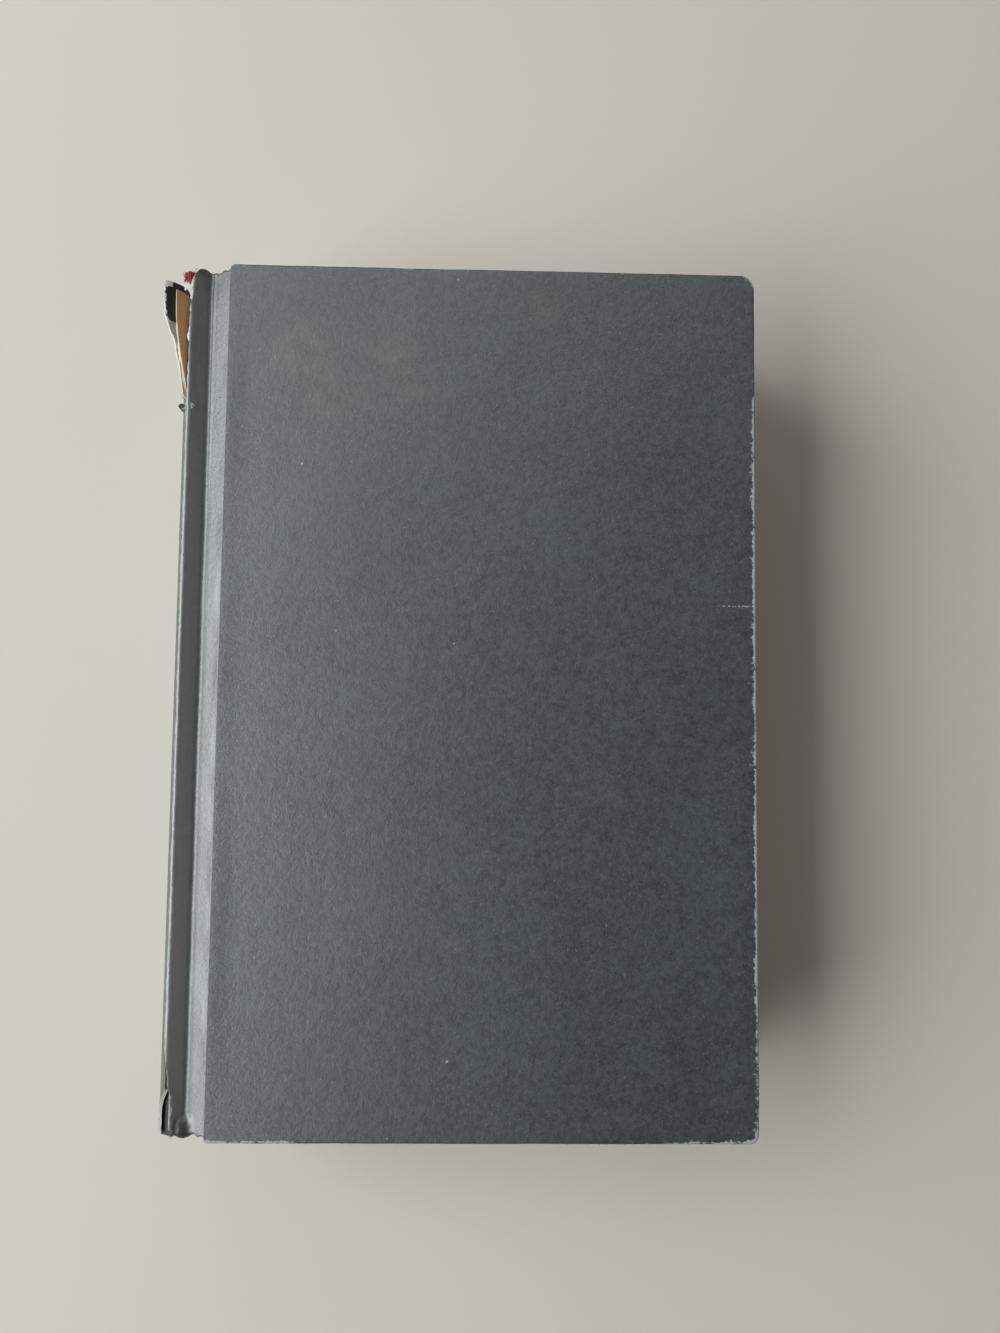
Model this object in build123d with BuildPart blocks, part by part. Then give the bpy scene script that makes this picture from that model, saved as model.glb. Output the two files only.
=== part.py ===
"""Case-bound book with a rounded back, French grooves and a spine covering torn at its head."""

import os
from math import degrees, pi, radians, sin

from build123d import *

# Pages, in millimetres
page_width = 155.0
page_height = 235.0
block_thickness = 49.0
round_depth = 5.6
fore_edge_hollow = 5.0
shoulder_run = 2.5
shoulder_rise = 2.5

# Sheet and board thicknesses
board_thickness = 2.6
covering_thickness = 0.4
paper_thickness = 0.2
lining_thickness = 0.35
inlay_thickness = 0.8

# Covers
square = 3.0
head_corner = 3.8
tail_corner = 2.0
spine_corner = 0.8
turn_in = 15.0
pastedown_border = 4.0
edge_round = 0.3

# Joint between board and shoulder, measured across the groove
groove_slope = 5.9
groove_rise = 3.9
ridge_rim = 1.1
groove_round = 1.6
joint_shortfall = 1.1
shoulder_inset = 0.4

# Spine of the case
spine_hollow = 1.3
spine_head_wear = 3.4
spine_tail_wear = 1.8
spine_turn_in = 12.0
inlay_margin = 5.0
inlay_shortfall = 2.2

# Tears along the front ridge, where a flap of the spine folds out; bends in degrees
rest_bend = 1.0
head_tear = 36.6
head_bend = 111.0
tail_tear = 12.0
tail_bend = 15.0
flap_width = 12.5
flap_loss = 3.4
loss_rate = 3.5
flap_sections = 5

# Head and tail bands
bead_radius = 1.3
bead_sides = 10
tape_thickness = 0.25
tape_drop = 8.0
band_margin = 2.2

# Clearances
cover_clearance = 0.2
groove_clearance = 0.1
ridge_clearance = 0.5
fold_gap = 0.1
glue_line = 0.05

# Heights, from the outside of the back cover up
cover_thickness = 2 * covering_thickness + board_thickness + paper_thickness
block_bottom = cover_thickness + cover_clearance + paper_thickness
block_top = block_bottom + block_thickness
total_height = block_top + block_bottom
mid_height = total_height / 2
board_top = total_height - covering_thickness
board_under = board_top - board_thickness
cover_under = total_height - cover_thickness
valley_height = block_top + paper_thickness + groove_clearance + covering_thickness
shoulder_top = block_top + shoulder_rise
ridge_height = shoulder_top + ridge_clearance + covering_thickness
spine_top = ridge_height - covering_thickness - fold_gap

# Lengths along the spine, from the middle of the book
page_end = page_height / 2
board_end = page_end + square - covering_thickness
cover_end = page_end + square
spine_head = cover_end - spine_head_wear
spine_tail = spine_tail_wear - cover_end
head_tear_start = spine_head - head_tear
tail_tear_start = spine_tail + tail_tear

# Distances across the book, from the spine edge of the boards towards the spine
valley_out = groove_slope
ridge_out = groove_slope + groove_rise
rim_out = ridge_out + ridge_rim
shoulder_out = ridge_out - shoulder_inset
spine_bulge = round_depth + spine_hollow
cover_width = page_width - shoulder_out + square


def torn_shares(y):
    """How far along the head tear and the tail tear a place on the spine is."""
    head_share = max(0, y - head_tear_start) / head_tear
    tail_share = max(0, tail_tear_start - y) / tail_tear
    return head_share, tail_share


def torn_off(y):
    """Width of the covering that is torn off the flap's edge."""
    head_share, tail_share = torn_shares(y)
    return flap_loss * sin(pi / 2 * min(1, loss_rate * head_share))


def folded_spine(spine_edge, y):
    """Outside of the spine covering from back ridge to front ridge: the part that keeps its round, and the flap."""
    ridge_x = spine_edge - rim_out
    whole = SagittaArc(
        (ridge_x, total_height - spine_top), (ridge_x, spine_top), spine_bulge, mode=Mode.PRIVATE
    )
    fold = 1 - flap_width / whole.length
    kept = ThreePointArc(whole @ 0, whole @ (fold / 2), whole @ fold, mode=Mode.PRIVATE)
    head_share, tail_share = torn_shares(y)
    torn_bend = head_bend * sin(pi / 2 * head_share) + tail_bend * sin(pi / 2 * tail_share)
    turn = rest_bend + torn_bend - degrees(flap_width / whole.radius)
    flap_radius = flap_width / radians(abs(turn))
    flap = JernArc(whole @ fold, whole % fold, flap_radius, turn, mode=Mode.PRIVATE)
    return kept, flap


# The origin is under the middle of the book, with the torn flap counted in
head_flap = folded_spine(0, spine_head)[1]
spine_reach = -(head_flap @ (1 - flap_loss / flap_width)).X
spine_edge = (spine_reach - cover_width) / 2
fore_edge = spine_edge + cover_width
board_fore = fore_edge - covering_thickness
page_fore = fore_edge - square
shoulder_x = spine_edge - shoulder_out
page_spine = shoulder_x + shoulder_run

back_arc = SagittaArc(
    (shoulder_x, total_height - shoulder_top), (shoulder_x, shoulder_top), round_depth
)


def across(y):
    """Plane across the book at a place along its spine, with X to the fore edge and Z up."""
    return Plane(origin=(0, y, 0), x_dir=(1, 0, 0), z_dir=(0, -1, 0))


def inside(arc, depth, share):
    """Point a given depth inside an arc, at a share of its length."""
    along = arc % share
    point = arc @ share + Vector(along.Y, -along.X) * depth
    return (point.X, point.Y)


def curved_band(y, arcs, outer_depth, inner_depth, back_margin=0, front_margin=0):
    """Profile across the book of a sheet that follows joined arcs between two depths inside them."""
    with BuildSketch(across(y)) as band:
        with BuildLine():
            for arc in arcs:
                first = back_margin / arc.length if arc is arcs[0] else 0
                last = 1 - front_margin / arc.length if arc is arcs[-1] else 1
                shares = (first, (first + last) / 2, last)
                outer = ThreePointArc(*[inside(arc, outer_depth, share) for share in shares])
                inner = ThreePointArc(*[inside(arc, inner_depth, share) for share in shares])
                if arc is arcs[0]:
                    Line(outer @ 0, inner @ 0)
                if arc is arcs[-1]:
                    Line(outer @ 1, inner @ 1)
        make_face()
    return band.sketch


def spine_band(y, outer_depth, inner_depth):
    """Profile of the spine covering between two depths, without what is torn off."""
    return curved_band(y, folded_spine(spine_edge, y), outer_depth, inner_depth, 0, torn_off(y))


def card_band(y, outer_depth, inner_depth):
    """Profile of the card between two depths inside the spine covering."""
    arcs = folded_spine(spine_edge, y)
    return curved_band(y, arcs, outer_depth, inner_depth, inlay_margin, inlay_margin)


def stretch(profile, low_y, high_y, outer_depth, inner_depth):
    """Stretch of a sheet lofted along the spine, where its flap folds out."""
    step = (high_y - low_y) / (flap_sections - 1)
    places = [low_y + step * index for index in range(flap_sections)]
    loft([profile(y, outer_depth, inner_depth) for y in places])


def cover_outline(end, fore, margin):
    """Outline of a board, or of the sheet around it, with its bumped corners."""
    with Locations(((spine_edge + fore) / 2, 0)):
        Rectangle(fore - spine_edge, 2 * end)
    fillet(vertices().group_by(Axis.X)[-1].sort_by(Axis.Y)[-1], head_corner + margin)
    fillet(vertices().group_by(Axis.X)[-1].sort_by(Axis.Y)[0], tail_corner + margin)
    fillet(vertices().group_by(Axis.X)[0], spine_corner + margin)


def inset_outline(inset):
    """Rectangle inside the cover, open to the spine edge and set in from the other three."""
    fore = fore_edge - inset
    with Locations(((spine_edge + fore) / 2, 0)):
        Rectangle(fore - spine_edge, 2 * (cover_end - inset))


# Pages, drawn across the book and run from head to tail
with BuildPart() as text_block:
    with BuildSketch(across(page_end)):
        with BuildLine():
            Line((page_spine, block_top), (page_fore, block_top))
            ThreePointArc(
                (page_fore, block_top), (page_fore - fore_edge_hollow, mid_height), (page_fore, block_bottom)
            )
            Line((page_fore, block_bottom), (page_spine, block_bottom))
            TangentArc(
                (page_spine, block_bottom), (shoulder_x, total_height - shoulder_top), tangent=(-1, 0)
            )
            add(back_arc)
            TangentArc((page_spine, block_top), (shoulder_x, shoulder_top), tangent=(-1, 0))
        make_face()
    extrude(amount=page_height)

# Cloth and paper over the rounded back
with BuildPart() as spine_lining:
    extrude(curved_band(page_end, (back_arc,), -lining_thickness, 0), amount=page_height)


def end_band(end, direction):
    """Woven band: a tape glued on the lining, with a bead that stands over the ends of the pages."""
    bead_y = end * direction + bead_radius * direction
    tape_depth = -lining_thickness - tape_thickness
    tape = curved_band(bead_y, (back_arc,), tape_depth, -lining_thickness, band_margin, band_margin)
    extrude(tape, amount=direction * (bead_radius + tape_drop))
    cut = band_margin / back_arc.length
    bead_depth = tape_depth + bead_radius
    with BuildLine(across(bead_y)) as bead_path:
        ThreePointArc(*[inside(back_arc, bead_depth, share) for share in (cut, 0.5, 1 - cut)])
    with BuildSketch(Plane(origin=bead_path.line @ 0, z_dir=bead_path.line % 0)) as bead:
        RegularPolygon(bead_radius, bead_sides)
    sweep(bead.sketch, path=bead_path.line)


with BuildPart() as head_band:
    end_band(page_end, 1)

with BuildPart() as tail_band:
    end_band(page_end, -1)

# Free endpapers on the first and last page
with BuildPart() as front_flyleaf:
    with BuildSketch(Plane.XY.offset(block_top)):
        with Locations(((page_spine + page_fore) / 2, 0)):
            Rectangle(page_fore - page_spine, page_height)
    extrude(amount=paper_thickness)

with BuildPart() as rear_flyleaf:
    mirror(front_flyleaf.part, about=Plane.XY.offset(mid_height))

# Spine of the case: covering turned in over itself at head and tail, with card glued inside
head_turn_in = spine_head - spine_turn_in
tail_turn_in = spine_tail + spine_turn_in
turned_depth = 2 * covering_thickness
with BuildPart() as spine_covering:
    stretch(spine_band, spine_tail, tail_turn_in, 0, turned_depth)
    plain_covering = spine_band(head_tear_start, 0, covering_thickness)
    extrude(plain_covering, amount=head_tear_start - tail_turn_in)
    stretch(spine_band, head_tear_start, head_turn_in, 0, covering_thickness)
    stretch(spine_band, head_turn_in, spine_head, 0, turned_depth)

card_outside = covering_thickness + glue_line
card_over_turn_in = turned_depth + glue_line
card_inside = card_outside + inlay_thickness
with BuildPart() as spine_inlay:
    stretch(card_band, spine_tail + inlay_shortfall, tail_turn_in, card_over_turn_in, card_inside)
    plain_card = card_band(head_tear_start, card_outside, card_inside)
    extrude(plain_card, amount=head_tear_start - tail_turn_in)
    stretch(card_band, head_tear_start, head_turn_in, card_outside, card_inside)
    stretch(card_band, head_turn_in, spine_head - inlay_shortfall, card_over_turn_in, card_inside)

# Covering in the front groove: down from the board, up over the shoulder, out to a worn rim
joint_end = cover_end - joint_shortfall


def groove_line(drop):
    """Line across the groove, a given drop below the outside of the covering."""
    return FilletPolyline(
        (spine_edge, total_height - drop),
        (spine_edge - valley_out, valley_height - drop),
        (spine_edge - ridge_out, ridge_height - drop),
        (spine_edge - rim_out, ridge_height - drop),
        radius=groove_round,
    )


with BuildPart() as front_joint:
    with BuildSketch(across(joint_end)):
        with BuildLine():
            outer_line = groove_line(0)
            inner_line = groove_line(covering_thickness)
            Line(outer_line @ 0, inner_line @ 0)
            Line(outer_line @ 1, inner_line @ 1)
        make_face()
    extrude(amount=2 * joint_end)

with BuildPart() as back_joint:
    mirror(front_joint.part, about=Plane.XY.offset(mid_height))

# Front cover: board, covering wrapped round three of its edges, endpaper glued over the turn-ins
with BuildPart() as front_board:
    with BuildSketch(Plane.XY.offset(board_under)):
        cover_outline(board_end, board_fore, 0)
    extrude(amount=board_thickness)

with BuildPart() as front_covering:
    with BuildSketch(Plane.XY.offset(board_under - covering_thickness)):
        cover_outline(cover_end, fore_edge, covering_thickness)
    extrude(amount=board_thickness + 2 * covering_thickness)
    outside_rim = faces().sort_by(Axis.Z)[-1].edges().sort_by(Axis.X)[1:]
    fillet(outside_rim, edge_round)
    add(front_board.part, mode=Mode.SUBTRACT)
    with BuildSketch(Plane.XY.offset(board_under)):
        inset_outline(turn_in)
    extrude(amount=-covering_thickness, mode=Mode.SUBTRACT)

with BuildPart() as front_pastedown:
    with BuildSketch(Plane.XY.offset(cover_under)):
        inset_outline(pastedown_border)
    extrude(amount=paper_thickness + covering_thickness)
    add(front_covering.part, mode=Mode.SUBTRACT)
    with BuildSketch(Plane.XY.offset(cover_under)):
        inset_outline(turn_in + paper_thickness)
    extrude(amount=covering_thickness, mode=Mode.SUBTRACT)

# Back cover: the same, the other way up
with BuildPart() as back_board:
    mirror(front_board.part, about=Plane.XY.offset(mid_height))

with BuildPart() as back_covering:
    mirror(front_covering.part, about=Plane.XY.offset(mid_height))

with BuildPart() as back_pastedown:
    mirror(front_pastedown.part, about=Plane.XY.offset(mid_height))

pieces = {
    "text_block": text_block,
    "spine_lining": spine_lining,
    "head_band": head_band,
    "tail_band": tail_band,
    "front_flyleaf": front_flyleaf,
    "rear_flyleaf": rear_flyleaf,
    "spine_covering": spine_covering,
    "spine_inlay": spine_inlay,
    "front_joint": front_joint,
    "back_joint": back_joint,
    "front_board": front_board,
    "front_covering": front_covering,
    "front_pastedown": front_pastedown,
    "back_board": back_board,
    "back_covering": back_covering,
    "back_pastedown": back_pastedown,
}

os.makedirs("parts", exist_ok=True)
for name, piece in pieces.items():
    piece.part.label = name
    export_step(piece.part, f"parts/{name}.step")
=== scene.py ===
"""Torn hardback book: coverings, joints, spine, pages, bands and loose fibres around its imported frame."""

import math

import bmesh
import bpy
import numpy as np
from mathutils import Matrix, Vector


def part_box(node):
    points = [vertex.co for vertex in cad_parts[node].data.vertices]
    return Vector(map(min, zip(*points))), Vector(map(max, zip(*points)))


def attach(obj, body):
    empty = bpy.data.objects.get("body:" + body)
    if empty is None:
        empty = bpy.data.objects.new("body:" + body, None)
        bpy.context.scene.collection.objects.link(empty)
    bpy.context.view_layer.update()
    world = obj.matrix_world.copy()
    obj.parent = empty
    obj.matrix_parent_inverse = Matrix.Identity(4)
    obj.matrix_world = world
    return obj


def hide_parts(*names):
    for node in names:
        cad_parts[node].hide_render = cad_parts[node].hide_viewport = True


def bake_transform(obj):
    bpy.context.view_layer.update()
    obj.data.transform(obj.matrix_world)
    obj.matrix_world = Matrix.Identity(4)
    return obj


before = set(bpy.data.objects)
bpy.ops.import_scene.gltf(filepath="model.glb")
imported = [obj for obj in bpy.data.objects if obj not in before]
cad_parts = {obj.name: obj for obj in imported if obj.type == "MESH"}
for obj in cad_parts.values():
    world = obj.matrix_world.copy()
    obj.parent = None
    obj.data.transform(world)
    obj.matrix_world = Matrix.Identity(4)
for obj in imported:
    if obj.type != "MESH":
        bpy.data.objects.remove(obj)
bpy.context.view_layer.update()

bl_info = {
    "name": "Torn Hardback Book",
    "version": (1, 0, 0),
    "blender": (4, 5, 0),
    "location": "3D View > Sidebar > Book",
    "description": "Dresses a worn hardback book with a torn spine and sets its studio",
    "category": "Object",
}

MM = 0.001

# Places that the frame gives, in metres
(SPINE_EDGE, _, COVER_UNDER), (FORE_EDGE, COVER_END, TOP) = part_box("front_covering")
(RIM, _, _), (_, JOINT_END, _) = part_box("front_joint")
(_, SPINE_TAIL, SPINE_FOOT), (_, SPINE_HEAD, _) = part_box("spine_covering")
(_, CARD_TAIL, _), (_, CARD_HEAD, _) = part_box("spine_inlay")
(PAGE_SPINE, _, BLOCK_TOP), (_, _, FLYLEAF_TOP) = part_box("front_flyleaf")
_, (PAGE_FORE, PAGE_END, SHOULDER_TOP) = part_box("text_block")
PASTEDOWN_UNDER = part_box("front_pastedown")[0][2]
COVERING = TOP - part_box("front_board")[1][2]
MIDDLE = TOP / 2

# Marks on the front cover, in millimetres: out from its spine edge, along the book, and reach
SMUDGES = ((20, 97, 13), (45, 96, 11), (89, 109, 7), (30, 84, 12), (54, 88, 8))
PALE_SPOTS = ((21.5, 63.6), (64.3, -98.9))
SCRATCH = 25.2

# Wear of the front joint: place out from the board's edge or along the book, width and size
KNOB_OUT, KNOB_WIDTH, KNOB_RISE = 6.2 * MM, 1.8 * MM, 1.45 * MM
CURL_OUT, CURL_WIDTH, CURL_REACH = 8.1 * MM, 1.35 * MM, 1.0 * MM
LIFT_OUT, LIFT_WIDTH, LIFT_RISE = 9.0 * MM, 1.5 * MM, 0.8 * MM
CREASE_OUT, CREASE_WIDTH, CREASE_RISE = 5.0 * MM, 0.32 * MM, 0.22 * MM
TEAR_FOOT, TEAR_FOOT_WIDTH, TEAR_FOOT_SPREAD = 84.5 * MM, 5 * MM, 0.55 * MM
CHIP_PLACE, CHIP_WIDTH, CHIP_REACH = 100.4 * MM, 2.2 * MM, 1.2 * MM
HEAD_LOSS, HEAD_WORN = 0.9 * MM, (111.5 * MM, 116.5 * MM)
TAIL_LOSS, TAIL_WORN = 2.0 * MM, (-92 * MM, -116 * MM)
END_ROLL = 0.75 * MM

# Thicknesses of thin sheets
TORN_PLY, TURN_IN_SHADE_PLY, TAG, ENDPAPER, TAPE = 0.14 * MM, 0.2 * MM, 0.22 * MM, 0.05 * MM, 0.25 * MM

# Loose front end of the head band: its start before the shoulder, radius and turn of its curl, straight end
LOOSE_START, LOOSE_RADIUS, LOOSE_TURN, LOOSE_END = 6.0 * MM, 1.9 * MM, math.radians(105), 1.6 * MM

# Material numbers on pieces of covering, of card and of tape
CHARCOAL, RAW, TORN, FRESH_AND_SHADE = range(4)
CARD_EDGE = 1
BEAD_CORE = 1

# Stage: brightness of the backdrop, half width of the floor and its depth under the book
BACKDROP = 0.85
FLOOR_REACH, FLOOR_DROP = 3.0, 0.05 * MM

# Plain stocks: label, colour, shade of the dark parts, size of the grain in millimetres, roughness,
# depth of the bumps in millimetres, change of tone, and stretch of the grain along the book
PLAIN_STOCKS = {
    # Unfaded turn-ins; the same stock gives the painted shade of the gap at the tail
    "fresh": ("fresh charcoal paper", "charcoal_fresh", (0.6, 0.6, 0.6), 0.7, 0.6, 0.04, 0.12, 1),
    "frayed": ("frayed paper", "frayed", (0.7, 0.7, 0.7), 0.4, 0.9, 0.03, 0.3, 1),
    "raw": ("raw paper", "raw_paper", (0.8, 0.8, 0.8), 0.5, 0.88, 0.06, 0.2, 1),
    "torn": ("torn paper", "torn", (0.85, 0.84, 0.82), 0.22, 0.92, 0.12, 0.1, 1),
    "kraft": ("brown card", "kraft", (0.86, 0.80, 0.74), 0.6, 0.78, 0.05, 0.1, 0.4),
    "card_edge": ("card edge", "card_edge", (0.85, 0.82, 0.76), 0.3, 0.9, 0.08, 0.1, 1),
    "endpaper": ("end leaf", "endpaper", (0.95, 0.94, 0.91), 0.7, 0.8, 0.02, 0.06, 1),
    "board": ("grey board", "greyboard", (0.8, 0.8, 0.8), 0.5, 0.9, 0.08, 0.15, 1),
}

# Materials by plain names, made at the first use
STOCK = {}


# Settings

def length(name, description, default):
    """Length setting, with its default given in millimetres."""
    return bpy.props.FloatProperty(
        name=name, description=description, default=default * MM, unit="LENGTH", precision=5
    )


def angle(name, description, default):
    """Angle setting, with its default given in degrees."""
    return bpy.props.FloatProperty(
        name=name, description=description, default=math.radians(default), subtype="ANGLE"
    )


def colour(name, description, *default):
    """Colour setting, in linear light."""
    return bpy.props.FloatVectorProperty(
        name=name, description=description, default=default, subtype="COLOR", size=3, min=0, max=1
    )


def count(name, description, default):
    """Whole number setting."""
    return bpy.props.IntProperty(
        name=name, description=description, default=default, subtype="UNSIGNED", min=0
    )


def power(name, description, default):
    """Light power setting, in watts."""
    return bpy.props.FloatProperty(name=name, description=description, default=default, unit="POWER", min=0)


class BookShape(bpy.types.PropertyGroup):
    """Sizes of the book's sheets and folds."""

    cover_roll: length("Cover roll", "Radius of the covering over a board's edge", 0.6)
    head_corner: length("Head corner", "Radius of the bumped corner at the head", 4.2)
    tail_corner: length("Tail corner", "Radius of the bumped corner at the tail", 2.4)
    spine_corner: length("Spine corner", "Radius of the corners beside the spine", 1.2)
    turn_in: length("Turn-in", "Width of the covering turned in under a board", 15)
    groove_slope: length("Groove slope", "Width of the slope down from the board", 5.9)
    groove_rise: length("Groove rise", "Width of the rise up to the ridge", 3.9)
    valley_drop: length("Valley drop", "Depth of the groove below the cover", 3.3)
    ridge_drop: length("Ridge drop", "Depth of the ridge below the cover", 0.6)
    ridge_rim: length("Ridge rim", "Width of the worn rim past the ridge", 1.1)
    groove_round: length("Groove round", "Radius of the groove and the ridge", 1.6)
    rim_droop: length("Rim droop", "How far the rim hangs over the spine where it isn't torn", 0.6)
    spine_bulge: length("Spine bulge", "How far the spine stands out past its ridges", 6.9)
    spine_turn_in: length("Spine turn-in", "Covering folded in at the ends of the spine", 12)
    head_tear: length("Head tear", "Length of the tear at the head", 36.6)
    tail_tear: length("Tail tear", "Length of the tear at the tail", 12)
    flap_width: length("Flap width", "Width of the front of the spine that folds out along a tear", 12.5)
    rest_bend: angle("Rest bend", "How far that part springs out where it isn't torn", 1)
    head_bend: angle("Head bend", "How far the flap folds out at the head", 113)
    flap_sag: length("Flap sag", "How far the flap sinks, to lie clear of the open cover", 0.35)
    tail_bend: angle("Tail bend", "How far the flap folds out at the tail", 15)
    flap_loss: length("Flap loss", "Covering torn off along the lower part of the flap", 4.5)
    tip_loss: length("Tip loss", "Covering torn off at the tip of the flap", 2.1)
    card_margin: length("Card margin", "Covering left bare beside the card", 5.0)
    card_thickness: length("Card thickness", "Thickness of the card in the spine", 0.8)
    round_depth: length("Round depth", "How far the pages' back is rounded", 5.6)
    shoulder: length("Shoulder", "Run and rise of the pages' shoulders", 2.5)
    fore_hollow: length("Fore-edge hollow", "Depth of the hollow at the fore edge", 5)
    bead_radius: length("Bead radius", "Radius of the head and tail bands' bead", 1.2)
    tape_drop: length("Tape drop", "Width of the bands' tape", 8)
    band_margin: length("Band margin", "Distance of a band's ends from the shoulders", 2.2)
    thread_gap: length("Thread gap", "Distance from one thread of a band to the next", 0.42)
    lining: length("Lining", "Thickness of the lining under the bands", 0.35)


class BookWear(bpy.types.PropertyGroup):
    """How worn the book is."""

    dent: length("Dents", "Depth of the dents along the boards' edges", 0.10)
    warp: length("Warp", "Unevenness of the boards' faces", 0.10)
    rag: length("Rag", "Depth of the ragged rim along the ridge", 0.9)
    leaf_slip: length("Leaf slip", "How unevenly the leaves lie at their edges", 0.16)
    leaf_layers: count("Leaf layers", "Layers that the leaves' edges show", 130)
    fibre_length: length("Fibre length", "Length of the loose fibres", 1.1)
    fibre_radius: length("Fibre radius", "Radius of the loose fibres", 0.035)
    fibre_count: count("Fibres", "Loose fibres along the ridge and the tears", 900)
    seed: count("Seed", "Seed of all that is uneven", 7)


class BookColours(bpy.types.PropertyGroup):
    """Colours of the book's materials."""

    charcoal: colour("Charcoal", "Covering", 0.0085, 0.0117, 0.0119)
    charcoal_pale: colour("Pale charcoal", "Covering where it is mottled", 0.0495, 0.0610, 0.0600)
    # Tone of unfaded turn-ins; it also gives the painted shade in the front joint's curled ends and in the
    # gap at the tail
    charcoal_fresh: colour("Fresh charcoal", "Turn-ins, which no light has faded", 0.017, 0.019, 0.019)
    frayed: colour("Frayed", "Loose fibres of the covering", 0.30, 0.30, 0.285)
    # Real light flecks on the covering; also the painted sheen on the front joint's rise and slope
    dusty_and_sheen: colour("Dusty", "Covering that hands have rubbed, before its fibres show", 0.20, 0.195, 0.185)
    smudge: colour("Smudge", "Brownish marks near the head", 0.085, 0.077, 0.065)
    rubbed: colour("Rubbed", "Covering worn down to its fibres", 0.34, 0.345, 0.33)
    raw_paper: colour("Raw paper", "Inside of the covering", 0.56, 0.54, 0.50)
    torn: colour("Torn", "Torn edges of the covering", 0.84, 0.82, 0.78)
    kraft: colour("Kraft", "Card in the spine", 0.56, 0.34, 0.175)
    card_edge: colour("Card edge", "Cut edges of that card", 0.84, 0.76, 0.62)
    leaves: colour("Leaves", "Pages", 0.78, 0.72, 0.60)
    endpaper: colour("Endpaper", "Endpapers", 0.78, 0.75, 0.68)
    greyboard: colour("Greyboard", "Boards", 0.33, 0.31, 0.28)
    cloth: colour("Cloth", "Lining of the pages' back", 0.62, 0.58, 0.50)
    tape: colour("Tape", "Tape of the head and tail bands", 0.80, 0.79, 0.76)
    thread: colour("Thread", "Threads of the bands", 0.54, 0.034, 0.09)
    floor: colour("Floor", "Studio floor", 0.66, 0.62, 0.555)
    daylight: colour("Daylight", "Light from the left", 0.95, 1.0, 1.0)


class BookStudio(bpy.types.PropertyGroup):
    """Camera and lights."""

    camera_place: bpy.props.FloatVectorProperty(
        name="Camera", description="Place of the camera", subtype="XYZ", unit="LENGTH", size=3,
        default=(SPINE_EDGE + 70.7 * MM, -11.7 * MM, 332.1 * MM),
    )
    camera_turn: bpy.props.FloatVectorProperty(
        name="Camera turn", description="Turn of the camera away from straight down", subtype="EULER",
        size=3, default=(math.radians(4.0), math.radians(-1.36), math.radians(0.75)),
    )
    lens: bpy.props.FloatProperty(
        name="Lens", description="Focal length", default=27, subtype="DISTANCE_CAMERA"
    )
    window_power: power("Window", "Power of the large soft light on the left", 38)
    head_power: power("Head light", "Power of the weak soft light past the head", 3.7)
    fore_power: power("Fore light", "Power of the weak low light on the right", 2.3)
    room: bpy.props.FloatProperty(
        name="Room", description="Strength of the light from all round", default=0.03,
        subtype="FACTOR", min=0, max=1,
    )


def book():
    """The book's settings."""
    return bpy.context.scene


# Uneven lines and fields

def jagged(places, step, seed):
    """Sharp random line from 0 to 1 over places along a length, with a knot about every step."""
    draw = np.random.default_rng(seed)
    low, high = places.min(), places.max()
    number = int((high - low) / step) + 3
    knots = np.linspace(low - step, high + step, number) + draw.uniform(-0.4, 0.4, number) * step
    return np.interp(places, np.sort(knots), draw.random(number))


def waves(x, y, size, seed):
    """Smooth random field of about -1 to 1 over a plane, with features of one size."""
    draw = np.random.default_rng(seed)
    total = 0
    terms = 14
    turns, phases = draw.uniform(0, 2 * math.pi, terms), draw.uniform(0, 2 * math.pi, terms)
    pitches = draw.uniform(0.6, 1.7, terms)
    for turn, phase, pitch in zip(turns, phases, pitches):
        across = x * math.cos(turn) + y * math.sin(turn)
        total = total + np.sin(2 * math.pi / size * pitch * across + phase)
    return total / math.sqrt(terms)


def ease(value, low, high):
    """Smooth step from 0 at low to 1 at high."""
    share = np.clip((value - low) / (high - low), 0, 1)
    return share * share * (3 - 2 * share)


def bell(value, middle, width, order=2):
    """Bump of height 1 about a middle; a higher order is flatter on top."""
    return np.exp(-(((value - middle) / width) ** order))


def fade(distance, width):
    """What is left of 1 at a distance, when it falls off over a width."""
    return np.exp(-distance / width)


def arc_radius(half, depth):
    """Radius of an arc with a half chord and a depth."""
    return (half ** 2 + depth ** 2) / (2 * depth)


def graded(span, fine, coarse, growth=1.3):
    """Places along a span from 0, close together near both ends and wider apart between them."""
    steps = [fine]
    while steps[-1] < coarse:
        steps.append(min(coarse, steps[-1] * growth))
    near = np.cumsum(steps)
    near = near[near < span / 2 - coarse]
    number = max(2, int(round((span - 2 * near[-1]) / coarse)) + 1)
    between = np.linspace(near[-1], span - near[-1], number)[1:-1]
    return np.concatenate([[0], near, between, span - near[::-1], [span]])


# Meshes

def grid_faces(rows, columns):
    """Faces of a grid of points, row after row."""
    at = np.arange(rows * columns).reshape(rows, columns)
    corners = [at[:-1, :-1], at[:-1, 1:], at[1:, 1:], at[1:, :-1]]
    return np.stack(corners, axis=-1).reshape(-1, 4)


def point_normals(points, faces):
    """Normals of a sheet at its points."""
    first, second, third, fourth = points[faces].transpose(1, 0, 2)
    across = np.cross(third - first, fourth - second)
    normals = np.zeros_like(points)
    for corner in range(4):
        np.add.at(normals, faces[:, corner], across)
    return normals / np.maximum(np.linalg.norm(normals, axis=1, keepdims=True), 1e-15)


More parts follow.
